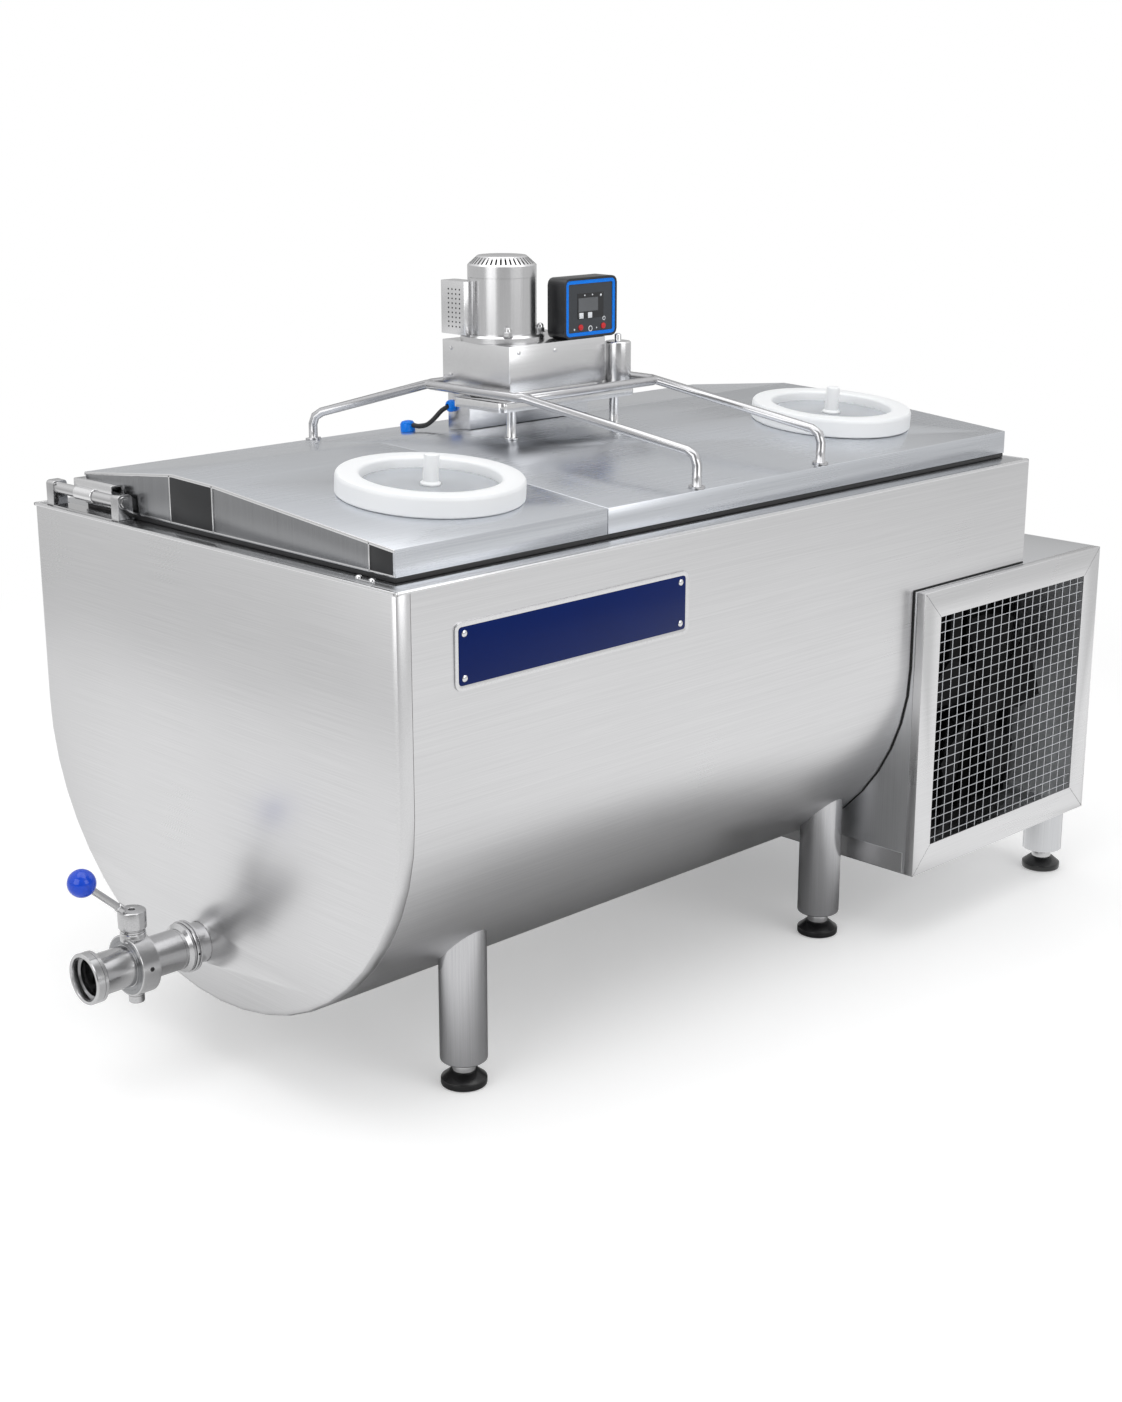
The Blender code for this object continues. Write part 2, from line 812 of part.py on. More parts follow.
def tank_points(front, inset):
    """The whole stepped tank set in from its outside, from a front station to the overhang."""
    rear = RIM_LENGTH - inset
    half = HALF_WIDTH - inset
    shelf = SHELF_HEIGHT + inset
    points = section(front, inset, inset) + section(TROUGH_LENGTH - inset, inset, inset)
    points.append((rear, -half, WALL_TOP))
    points.append((rear, -half, shelf))
    points.append((rear, half, shelf))
    points.append((rear, half, WALL_TOP))
    return points


def tank_faces(front_closed, top_closed):
    """The faces that go with tank_points."""
    size = SECTION_POINTS
    end = 2 * size
    faces = [(step, step + 1, size + step + 1, size + step) for step in range(size - 1)]
    faces.append(tuple(range(size + 1, 2 * size - 1)))
    faces.append((size, size + 1, end + 1, end))
    faces.append((size + 1, 2 * size - 2, end + 2, end + 1))
    faces.append((2 * size - 2, 2 * size - 1, end + 3, end + 2))
    faces.append((end, end + 1, end + 2, end + 3))
    if front_closed:
        faces.append(tuple(range(size)))
    if top_closed:
        faces.append((0, size, end, end + 3, 2 * size - 1, size - 1))
    return faces


def lid_top(y):
    """Height of the lid's upper face at a place across."""
    for (y0, z0), (y1, z1) in zip(LID_PROFILE, LID_PROFILE[1:]):
        if y <= y1:
            return z0 + (z1 - z0) * (y - y0) / (y1 - y0)
    return LID_PROFILE[-1][1]


def lid_slope(y):
    """Tilt of the lid's upper face about X at a place across."""
    for (y0, z0), (y1, z1) in zip(LID_PROFILE, LID_PROFILE[1:]):
        if y <= y1:
            return math.atan2(z1 - z0, y1 - y0)
    return 0.0


def on_lid(x, y):
    """A frame on the lid's upper face, its Z square to the sheet."""
    return Matrix.Translation((x, y, lid_top(y))) @ Matrix.Rotation(lid_slope(y), 4, "X")


def make_outer_jacket():
    outer = tank_points(HEAD_DEPTH + GAP, 0)
    inner = tank_points(HEAD_DEPTH + GAP, STEEL_SHEET)
    bm = sheet_from(outer, inner, tank_faces(False, False))
    return add_piece("outer_jacket", bm, brushed_steel("jacket"), smooth=True)


def head_stations(offset):
    """Front head stations: the flat face, the rolled edge and the skirt."""
    radius = HEAD_BEVEL - offset
    stations = []
    for step in range(HEAD_BEVEL_STEPS + 1):
        angle = math.pi / 2 * step / HEAD_BEVEL_STEPS
        stations.append((offset + radius * (1 - math.cos(angle)), offset + radius * (1 - math.sin(angle))))
    stations.append((HEAD_DEPTH, offset))
    return stations


def make_front_head(pipe_hole):
    outer = [point for x, inset in head_stations(0) for point in section(x, inset, 0)]
    inner = [point for x, inset in head_stations(STEEL_SHEET) for point in section(x, inset, 0)]
    size = SECTION_POINTS
    faces = [tuple(range(size))]
    for row in range(HEAD_BEVEL_STEPS + 1):
        for step in range(size - 1):
            first = row * size + step
            faces.append((first, first + 1, first + size + 1, first + size))
    piece = add_piece("front_head", sheet_from(outer, inner, faces), brushed_steel("head"), smooth=True)
    cut(piece, pipe_hole)
    return piece


def make_milk_vessel(pipe_hole):
    outer = tank_points(INSULATION, INSULATION)
    inner = tank_points(INSULATION + VESSEL_WALL, INSULATION + VESSEL_WALL)
    bm = sheet_from(outer, inner, tank_faces(True, False))
    piece = add_piece("milk_vessel", bm, polished_steel("vessel"), smooth=True)
    cut(piece, pipe_hole)
    return piece


def evaporator_points(front, rear, inset, spare):
    """A cradle under the trough between two stations, as an open skin."""
    half = HALF_WIDTH - inset
    depth = BELLY_DEPTH - inset
    points = []
    for x in (front, rear):
        steps = range(EVAPORATOR_BARE_STEPS, ARC_STEPS + 1 - EVAPORATOR_BARE_STEPS)
        for step in steps:
            angle = math.pi * step / ARC_STEPS
            rise = spare if step in (steps[0], steps[-1]) else 0
            points.append((x, -half * math.cos(angle), STRAIGHT_END - depth * math.sin(angle) + rise))
    return points


def evaporator_faces():
    size = ARC_STEPS + 1 - 2 * EVAPORATOR_BARE_STEPS
    return [(step, step + 1, size + step + 1, size + step) for step in range(size - 1)]


def make_evaporator():
    """The cold plate that cradles the vessel, and the pocket in the foam that it lies in."""
    near_vessel = INSULATION - GAP
    outer = evaporator_points(EVAPORATOR_FRONT, EVAPORATOR_REAR, near_vessel - EVAPORATOR_SHEET, 0)
    inner = evaporator_points(EVAPORATOR_FRONT, EVAPORATOR_REAR, near_vessel, 0)
    add_piece(
        "evaporator_plate",
        sheet_from(outer, inner, evaporator_faces()),
        finish("evaporator_steel", (168, 172, 178), 1.0, 0.4),
        smooth=True,
    )
    front = EVAPORATOR_FRONT - GAP
    rear = EVAPORATOR_REAR + GAP
    outer = evaporator_points(front, rear, near_vessel - EVAPORATOR_SHEET - GAP, GAP)
    inner = evaporator_points(front, rear, INSULATION + VESSEL_WALL / 2, GAP)
    return add_cutter("evaporator_pocket", sheet_from(outer, inner, evaporator_faces()))


def make_foam(pipe_hole, pocket):
    """Foam between jacket, front head and vessel."""
    inset = STEEL_SHEET + GAP
    rolled = [(x + GAP, set_in) for x, set_in in head_stations(inset)[: HEAD_BEVEL_STEPS + 1]]
    outer = [point for x, set_in in rolled for point in section(x, set_in, inset)]
    size = SECTION_POINTS
    outer += tank_points(HEAD_DEPTH, inset)[size:]
    liner = INSULATION - GAP
    points = outer + tank_points(liner, liner)
    rows = len(rolled)
    count = len(outer)
    faces = [tuple(range(size))]
    for row in range(rows - 1):
        for step in range(size - 1):
            first = row * size + step
            faces.append((first, first + 1, first + size + 1, first + size))
    shift = (rows - 1) * size
    faces += [tuple(number + shift for number in face) for face in tank_faces(False, False)]
    for face in tank_faces(True, False):
        faces.append(tuple(number + count for number in face))
    outer_rim = [row * size for row in range(rows)]
    outer_rim += [rows * size, (rows + 1) * size, (rows + 1) * size + 3, (rows + 1) * size - 1]
    outer_rim += [row * size + size - 1 for row in reversed(range(rows))]
    inner_rim = [count, count + size, count + 2 * size, count + 2 * size + 3, count + 2 * size - 1]
    inner_rim.append(count + size - 1)
    bm = body_from(points, faces)
    bm.verts.ensure_lookup_table()
    rim_edges = []
    for rim in (outer_rim, inner_rim):
        for start, end in zip(rim, rim[1:] + rim[:1]):
            edge = bm.edges.get((bm.verts[start], bm.verts[end]))
            rim_edges.append(edge or bm.edges.new((bm.verts[start], bm.verts[end])))
    bmesh.ops.triangle_fill(bm, use_beauty=True, use_dissolve=False, edges=rim_edges)
    look = finish("insulation_foam", (226, 205, 150), 0.0, 0.9)
    piece = add_piece("foam_fill", bm, look)
    cut(piece, pipe_hole, pocket)
    return piece


def frame_plate(outer, inner, low, high, axis):
    """A flat ring between two outlines of as many points."""

    def at(point, level):
        u, v = point
        return {"X": (level, u, v), "Y": (u, level, v), "Z": (u, v, level)}[axis]

    loops = [
        [at(point, low) for point in outer],
        [at(point, high) for point in outer],
        [at(point, high) for point in inner],
        [at(point, low) for point in inner],
    ]
    return loops_body(loops, True)


def make_rim_deck():
    outer = rounded_rectangle(0, RIM_LENGTH, -HALF_WIDTH, HALF_WIDTH, 0)
    inner = rounded_rectangle(
        DECK_LIP_FRONT,
        RIM_LENGTH - DECK_LIP_REAR,
        -HALF_WIDTH + DECK_LIP_NEAR,
        HALF_WIDTH - DECK_LIP_FAR,
        0,
    )
    bm = frame_plate(outer, inner, DECK_BOTTOM, RIM_HEIGHT, "Z")
    return add_piece("rim_deck", bm, brushed_steel("deck"))


def make_lid_gasket():
    front = LID_FRONT + GASKET_SET_IN
    rear = LID_REAR - GASKET_SET_IN
    near = LID_NEAR + GASKET_SET_IN
    far = LID_FAR - GASKET_SET_IN
    outer = rounded_rectangle(front, rear, near, far, 0)
    inner = rounded_rectangle(
        front + GASKET_WIDTH, rear - GASKET_WIDTH, near + GASKET_WIDTH, far - GASKET_WIDTH, 0
    )
    low = RIM_HEIGHT + GAP
    bm = frame_plate(outer, inner, low, low + GASKET_HEIGHT, "Z")
    return add_piece("lid_gasket", bm, black_rubber("gasket"))


def cover_points(front, rear, inset):
    """A cover's skin at its two ends: near skirt, roof and far skirt."""
    drop = inset / math.cos(lid_slope(LID_NEAR))
    ys = [LID_NEAR + inset, RIDGE_NEAR_Y, RIDGE_FAR_Y, LID_FAR - inset]
    roof = [(y, lid_top(y) - drop) for y in ys]
    outline = [(ys[0], LID_BASE), *roof, (ys[-1], LID_BASE)]
    return [(x, y, z) for x in (front + inset, rear - inset) for y, z in outline]


def make_cover(name, front, rear, hatch, origin=(0, 0, 0), shaft_hole=None):
    """One length of the lid, folded from sheet, with a collared hatch hole."""
    size = 6
    faces = [tuple(range(size)), tuple(range(size, 2 * size))]
    faces += [(step, step + 1, size + step + 1, size + step) for step in range(size - 1)]
    bm = sheet_from(cover_points(front, rear, 0), cover_points(front, rear, STEEL_SHEET), faces)
    piece = add_piece(name, bm, brushed_steel(name), origin)
    place = on_lid(*hatch)
    low = -2 * STEEL_SHEET
    high = HATCH_COLLAR_HEIGHT
    outer = HATCH_COLLAR_INNER + HATCH_COLLAR_WALL
    hole = cylinder(HATCH_COLLAR_INNER + HATCH_COLLAR_WALL / 2, 4 * low, high, HATCH_SIDES, place)
    ring = [(HATCH_COLLAR_INNER, low), (outer, low), (outer, high), (HATCH_COLLAR_INNER, high)]
    collar = turned(ring, HATCH_SIDES, place, closed=True)
    if shaft_hole is not None:
        cut(piece, shaft_hole)
    cut(piece, add_cutter(f"{name}_hole", hole))
    join(piece, add_cutter(f"{name}_collar", collar))
    return piece


def make_hatch(name, place_xy):
    """White ring, clear window and knob that lift off together."""
    place = on_lid(*place_xy)
    rotation = place.to_3x3()
    origin = place.translation
    bore = HATCH_COLLAR_INNER + HATCH_COLLAR_WALL + 2 * GAP
    ring = [
        (bore, HATCH_LIFT),
        (HATCH_RADIUS, HATCH_LIFT),
        (HATCH_RADIUS, HATCH_HEIGHT - HATCH_ROUND),
        (HATCH_RADIUS - HATCH_ROUND, HATCH_HEIGHT),
        (HATCH_MOUTH + HATCH_ROUND, HATCH_HEIGHT),
        (HATCH_MOUTH + GAP, HATCH_HEIGHT - HATCH_ROUND),
        (HATCH_MOUTH + GAP, HATCH_LEDGE),
        (bore, HATCH_LEDGE),
    ]
    add_piece(
        f"hatch_ring_{name}",
        turned(ring, HATCH_SIDES, place, closed=True),
        white_plastic(f"ring_{name}"),
        origin,
        smooth=True,
        rotation=rotation,
    )
    low = HATCH_LEDGE + GAP
    add_piece(
        f"hatch_window_{name}",
        cylinder(HATCH_MOUTH - 2 * GAP, low, low + WINDOW_THICKNESS, HATCH_SIDES, place),
        finish(f"clear_plastic_{name}", (214, 220, 226), 0.0, 0.1),
        origin,
        rotation=rotation,
    )
    foot = low + WINDOW_THICKNESS + GAP
    knob = [
        (0, foot),
        (KNOB_FOOT_RADIUS, foot),
        (KNOB_FOOT_RADIUS, foot + KNOB_FOOT),
        (KNOB_RADIUS, foot + KNOB_NECK),
        (KNOB_RADIUS, foot + KNOB_HEIGHT - KNOB_ROUND),
        (KNOB_RADIUS - KNOB_ROUND, foot + KNOB_HEIGHT),
        (0, foot + KNOB_HEIGHT),
    ]
    add_piece(
        f"hatch_knob_{name}",
        turned(knob, KNOB_SIDES, place),
        white_plastic(f"knob_{name}"),
        origin,
        smooth=True,
        rotation=rotation,
    )


def hinge_along(y):
    return along_y(HINGE_X, y, HINGE_Z)


def make_hinge():
    """Bracket with its pin on the rim, and the sprung leaf that carries the front cover."""
    base = RIM_HEIGHT + GAP
    top = base + HINGE_PLATE
    bracket = add_piece(
        "hinge_bracket",
        box((HINGE_PLATE_FRONT, HINGE_NEAR_Y, base), (HINGE_PLATE_REAR, HINGE_FAR_Y, top)),
        polished_steel("hinge_bracket"),
        (HINGE_X, 0, HINGE_Z),
        smooth=True,
    )
    lug_places = (HINGE_NEAR_Y, HINGE_FAR_Y - HINGE_LUG)
    for number, start in enumerate(lug_places):
        root = (base + top) / 2
        outline = [(HINGE_X - HINGE_LUG_RADIUS, root), (HINGE_X + HINGE_LUG_RADIUS, root)]
        for step in range(HINGE_LUG_STEPS + 1):
            angle = math.pi * step / HINGE_LUG_STEPS
            u = HINGE_X + HINGE_LUG_RADIUS * math.cos(angle)
            outline.append((u, HINGE_Z + HINGE_LUG_RADIUS * math.sin(angle)))
        lug = add_cutter(f"hinge_lug_{number}", plate(outline, start, start + HINGE_LUG, "Y"))
        join(bracket, lug)
    inside = HINGE_LUG / 2
    length = HINGE_FAR_Y - HINGE_NEAR_Y - HINGE_LUG
    pin = add_cutter(
        "hinge_pin",
        cylinder(HINGE_PIN_RADIUS, 0, length, PIN_SIDES, hinge_along(HINGE_NEAR_Y + inside)),
    )
    bolt = add_cutter(
        "hinge_bolt",
        cylinder(HINGE_BOLT_RADIUS, -HINGE_BOLT_HEAD, inside, HEX_SIDES, hinge_along(HINGE_NEAR_Y)),
    )
    join(bracket, pin, bolt)

    start = HINGE_NEAR_Y + HINGE_LUG + GAP
    end = HINGE_FAR_Y - HINGE_LUG - GAP
    middle = (start + end) / 2
    barrel = [
        (HINGE_PIN_RADIUS + GAP, start),
        (HINGE_SPRING_RADIUS, start),
        (HINGE_SPRING_RADIUS, middle - HINGE_SLEEVE / 2),
        (HINGE_BARREL_RADIUS, middle - HINGE_SLEEVE / 2),
        (HINGE_BARREL_RADIUS, middle + HINGE_SLEEVE / 2),
        (HINGE_SPRING_RADIUS, middle + HINGE_SLEEVE / 2),
        (HINGE_SPRING_RADIUS, end),
        (HINGE_PIN_RADIUS + GAP, end),
    ]
    leaf = add_piece(
        "hinge_leaf",
        turned(barrel, PIN_SIDES, hinge_along(0), closed=True),
        polished_steel("hinge_leaf"),
        (HINGE_X, 0, HINGE_Z),
        smooth=True,
    )
    high = HINGE_Z + HINGE_LEAF_RISE
    back = LID_FRONT - GAP
    arm = HINGE_PLATE
    outline = [
        (HINGE_X - arm / 2, HINGE_Z + HINGE_SPRING_RADIUS - arm / 2),
        (HINGE_X + arm / 2, HINGE_Z + HINGE_SPRING_RADIUS - arm / 2),
        (HINGE_X + arm / 2, high - arm),
        (back - arm, high - arm),
        (back - arm, high - HINGE_LEAF_DROP),
        (back, high - HINGE_LEAF_DROP),
        (back, high),
        (HINGE_X - arm / 2, high),
    ]
    near = start + HINGE_LEAF_SET_IN
    join(leaf, add_cutter("hinge_leaf_plate", plate(outline, near, near + HINGE_LEAF_LENGTH, "Y")))


def make_guard_rail():
    """Bent tube round the drive: a loop, four arms and their feet, welded into one."""
    z = RAIL_HEIGHT
    corners = {
        "front_far": (RAIL_FRONT, RAIL_FAR, z),
        "front_near": (RAIL_FRONT, RAIL_NEAR, z),
        "rear_near": (RAIL_REAR, RAIL_NEAR, z),
        "rear_far": (RAIL_REAR, RAIL_FAR, z),
    }
    loop = rounded_path(corners.values(), RAIL_CORNER, RAIL_CORNER_STEPS, closed=True)
    ring = tube(loop, RAIL_RADIUS, TUBE_SIDES, closed=True)
    rail = add_piece("guard_rail", ring, polished_steel("rail"), smooth=True)
    middle = Vector(((RAIL_FRONT + RAIL_REAR) / 2, (RAIL_NEAR + RAIL_FAR) / 2, z))
    inward = RAIL_CORNER * (math.sqrt(2) - 1)
    for name, (x, y) in RAIL_FEET.items():
        foot = lid_top(y) + GAP
        corner = Vector(corners[name])
        start = corner + (middle - corner).normalized() * inward
        knees = [start, (x, y, RAIL_SHOULDER), (x, y, foot + RAIL_FLANGE / 2)]
        path = rounded_path(knees, RAIL_BEND, RAIL_BEND_STEPS)
        arm = add_cutter(f"rail_arm_{name}", tube(path, RAIL_RADIUS * RAIL_ARM_SHARE, TUBE_SIDES))
        place = on_lid(x, y)
        flange = add_cutter(
            f"rail_flange_{name}", cylinder(RAIL_FLANGE_RADIUS, GAP, GAP + RAIL_FLANGE, PIN_SIDES, place)
        )
        join(rail, arm, flange)


def make_pedestal(shaft_hole):
    """Sloped foot of the gear housing, bored for the agitator shaft."""
    outline = [(PEDESTAL_NEAR, lid_top(PEDESTAL_NEAR) + 2 * GAP)]
    if PEDESTAL_NEAR < RIDGE_FAR_Y < PEDESTAL_FAR:
        outline.append((RIDGE_FAR_Y, lid_top(RIDGE_FAR_Y) + 2 * GAP))
    outline.append((PEDESTAL_FAR, lid_top(PEDESTAL_FAR) + 2 * GAP))
    outline.append((PEDESTAL_FAR, DRIVE_BASE - GAP))
    outline.append((PEDESTAL_NEAR, DRIVE_BASE - GAP))
    bm = plate(outline, PEDESTAL_FRONT, PEDESTAL_REAR, "X")
    piece = add_piece("pedestal", bm, brushed_steel("pedestal"))
    cut(piece, shaft_hole)


def make_drive_tray():
    """Tray on two standoffs, with the rubber pad that the drive box rests on."""
    outline = rounded_rectangle(TRAY_FRONT, TRAY_REAR, TRAY_NEAR, PEDESTAL_NEAR - GAP, TRAY_CORNER)
    low = TRAY_TOP - TRAY_THICKNESS
    tray = add_piece("drive_tray", plate(outline, low, TRAY_TOP, "Z"), polished_steel("tray"), smooth=True)
    inside = TRAY_THICKNESS / 2
    for number, (x, y) in enumerate(STANDOFFS):
        foot = lid_top(y) + GAP
        place = Matrix.Translation((x, y, 0))
        post = add_cutter(
            f"standoff_{number}",
            cylinder(STANDOFF_RADIUS, foot + STANDOFF_FOOT / 2, low + inside, POST_SIDES, place),
        )
        flange = add_cutter(
            f"standoff_foot_{number}",
            cylinder(STANDOFF_FOOT_RADIUS, GAP, GAP + STANDOFF_FOOT, POST_SIDES, on_lid(x, y)),
        )
        join(tray, post, flange)
    pad = add_cutter(
        "drive_pad",
        box(
            (PAD_FRONT, DRIVE_NEAR, TRAY_TOP - inside),
            (PAD_REAR, DRIVE_NEAR + PAD_DEPTH, DRIVE_BASE - GAP),
        ),
    )
    join(tray, pad)


def make_drive_box(shaft_hole):
    """Folded gear box cover, open for the shaft at its floor."""
    bm = box((DRIVE_FRONT, DRIVE_NEAR, DRIVE_BASE), (DRIVE_REAR, DRIVE_FAR, DRIVE_TOP), DRIVE_EDGE)
    piece = add_piece("drive_box", bm, brushed_steel("drive_box"), smooth=True)
    hollow = add_cutter(
        "drive_box_hollow",
        box(
            (DRIVE_FRONT + DRIVE_WALL, DRIVE_NEAR + DRIVE_WALL, DRIVE_BASE + DRIVE_WALL),
            (DRIVE_REAR - DRIVE_WALL, DRIVE_FAR - DRIVE_WALL, DRIVE_TOP - DRIVE_WALL),
        ),
    )
    cut(piece, hollow, shaft_hole)


def make_motor():
    """Motor body on its bolted flange, vented cowl and the fan under it."""
    place = Matrix.Translation((MOTOR_X, MOTOR_Y, MOTOR_BASE))
    top = MOTOR_FLANGE + MOTOR_HEIGHT
    bore = MOTOR_SHAFT_RADIUS + GAP
    floor = top - MOTOR_SHAFT_DEPTH
    profile = [
        (0, 0),
        (MOTOR_FLANGE_RADIUS, 0),
        (MOTOR_FLANGE_RADIUS, MOTOR_FLANGE - MOTOR_FLANGE_ROUND),
        (MOTOR_FLANGE_RADIUS - MOTOR_FLANGE_ROUND, MOTOR_FLANGE),
        (MOTOR_RADIUS, MOTOR_FLANGE),
        (MOTOR_RADIUS, top),
        (bore, top),
        (bore, floor),
        (0, floor),
    ]
    body = add_piece("motor_body", turned(profile, MOTOR_SIDES, place), brushed_steel("motor"), smooth=True)
    bolts = []
    for number in range(MOTOR_BOLTS):
        angle = MOTOR_BOLT_TURN + math.tau * number / MOTOR_BOLTS
        x = MOTOR_BOLT_CIRCLE * math.cos(angle)
        y = MOTOR_BOLT_CIRCLE * math.sin(angle)
        bolt = [
            (0, MOTOR_FLANGE / 2),
            (MOTOR_BOLT_RADIUS, MOTOR_FLANGE / 2),
            (MOTOR_BOLT_RADIUS, MOTOR_FLANGE + MOTOR_BOLT_HEIGHT * 0.6),
            (MOTOR_BOLT_RADIUS * 0.6, MOTOR_FLANGE + MOTOR_BOLT_HEIGHT),
            (0, MOTOR_FLANGE + MOTOR_BOLT_HEIGHT),
        ]
        bolts.append(turned(bolt, HEX_SIDES, place @ Matrix.Translation((x, y, 0))))
    join(body, add_cutter("motor_bolts", merged(*bolts)))

    base = MOTOR_TOP + GAP
    place = Matrix.Translation((MOTOR_X, MOTOR_Y, base))
    high = COWL_SIDE + COWL_CONE
    lean = COWL_WALL * COWL_LEAN
    profile = [
        (MOTOR_RADIUS - COWL_WALL, 0),
        (MOTOR_RADIUS, 0),
        (MOTOR_RADIUS, COWL_SIDE),
        (COWL_TOP_RADIUS, high),
        (0, high),
        (0, high - COWL_WALL),
        (COWL_TOP_RADIUS - lean, high - COWL_WALL),
        (MOTOR_RADIUS - COWL_WALL, COWL_SIDE - COWL_WALL / 2),
    ]
    shell = turned(profile, MOTOR_SIDES, place, closed=True)
    cowl = add_piece("motor_cowl", shell, brushed_steel("cowl"), smooth=True)
    middle = (MOTOR_RADIUS + COWL_TOP_RADIUS) / 2
    slots = []
    for number in range(COWL_SLOTS):
        turn = Matrix.Rotation(math.tau * number / COWL_SLOTS, 4, "Z")
        slot = box(
            (middle - COWL_SLOT_WIDTH, -COWL_SLOT_WIDTH / 2, COWL_SIDE),
            (middle + COWL_SLOT_WIDTH, COWL_SLOT_WIDTH / 2, high + COWL_WALL),
        )
        bmesh.ops.transform(slot, matrix=place @ turn, verts=slot.verts)
        slots.append(slot)
    cut(cowl, add_cutter("cowl_slots", merged(*slots)))

    fan_low = 2 * GAP + MOTOR_FAN_LIFT
    place = Matrix.Translation((MOTOR_X, MOTOR_Y, MOTOR_TOP))
    profile = [
        (0, GAP - MOTOR_SHAFT_DEPTH),
        (MOTOR_SHAFT_RADIUS, GAP - MOTOR_SHAFT_DEPTH),
        (MOTOR_SHAFT_RADIUS, fan_low),
        (MOTOR_FAN_HUB, fan_low),
        (MOTOR_FAN_HUB, fan_low + MOTOR_FAN_DEPTH),
        (0, fan_low + MOTOR_FAN_DEPTH),
    ]
    fan = add_piece(
        "motor_fan",
        turned(profile, PIN_SIDES, place),
        dark_plastic("motor_fan"),
        (MOTOR_X, MOTOR_Y, MOTOR_TOP),
        smooth=True,
    )
    blades = []
    for number in range(MOTOR_FAN_BLADES):
        turn = Matrix.Rotation(math.tau * number / MOTOR_FAN_BLADES, 4, "Z")
        pitch = Matrix.Rotation(MOTOR_BLADE_PITCH, 4, "X")
        thick, wide = MOTOR_BLADE_THICKNESS / 2, MOTOR_BLADE_WIDTH / 2
        blade = box((MOTOR_FAN_HUB - MOTOR_FAN_LIFT, -thick, -wide), (MOTOR_FAN_RADIUS, thick, wide))
        lift = Matrix.Translation((0, 0, fan_low + MOTOR_FAN_DEPTH / 2))
        bmesh.ops.transform(blade, matrix=place @ lift @ turn @ pitch, verts=blade.verts)
        blades.append(blade)
    join(fan, add_cutter("motor_fan_blades", merged(*blades)))

    low = MOTOR_BASE + MOTOR_FLANGE + GAP
    terminal = add_piece(
        "terminal_box",
        box(
            (TERMINAL_FRONT, TERMINAL_NEAR, low),
            (TERMINAL_FRONT + TERMINAL_DEPTH, TERMINAL_NEAR + TERMINAL_WIDTH, low + TERMINAL_HEIGHT),
            TERMINAL_EDGE,
        ),
        brushed_steel("terminal_box"),
        smooth=True,
    )
    bolt_x = MOTOR_X + MOTOR_BOLT_CIRCLE * math.cos(MOTOR_BOLT_TURN + math.pi / 2)
    bolt_y = MOTOR_Y + MOTOR_BOLT_CIRCLE * math.sin(MOTOR_BOLT_TURN + math.pi / 2)
    notch = box(
        (bolt_x - TERMINAL_NOTCH, bolt_y - TERMINAL_NOTCH, low - MOTOR_FLANGE),
        (MOTOR_X, bolt_y + TERMINAL_NOTCH, low + MOTOR_BOLT_HEIGHT + TERMINAL_NOTCH / 2),
    )
    motor_foot = Matrix.Translation((MOTOR_X, MOTOR_Y, low - CUT_PAST))
    saddle = cylinder(MOTOR_RADIUS + GAP, 0, 2 * MOTOR_HEIGHT, MOTOR_SIDES, motor_foot)
    cut(terminal, add_cutter("terminal_saddle", saddle), add_cutter("terminal_notch", notch))


def make_canister():
    low = TRAY_TOP + GAP
    high = low + CANISTER_HEIGHT
    edge = 0.002
    profile = [
        (0, low),
        (CANISTER_RADIUS, low),
        (CANISTER_RADIUS, high - edge),
        (CANISTER_RADIUS - edge, high),
        (CANISTER_STUD_RADIUS, high),
        (CANISTER_STUD_RADIUS, high + CANISTER_STUD - edge),
        (CANISTER_STUD_RADIUS / 2, high + CANISTER_STUD),
        (0, high + CANISTER_STUD),
    ]
    bm = turned(profile, PIPE_SIDES, Matrix.Translation((CANISTER_X, CANISTER_Y, 0)))
    add_piece("canister", bm, polished_steel("canister"), smooth=True)


def control_outline(inset):
    """Outline of the control box face, set in from its edge."""
    return rounded_rectangle(
        CONTROL_FRONT + inset,
        CONTROL_FRONT + CONTROL_WIDTH - inset,
        CONTROL_BASE + inset,
        CONTROL_BASE + CONTROL_HEIGHT - inset,
        max(CONTROL_CORNER - inset, CONTROL_CORNER_LEAST),
        CONTROL_CORNER_STEPS,
    )


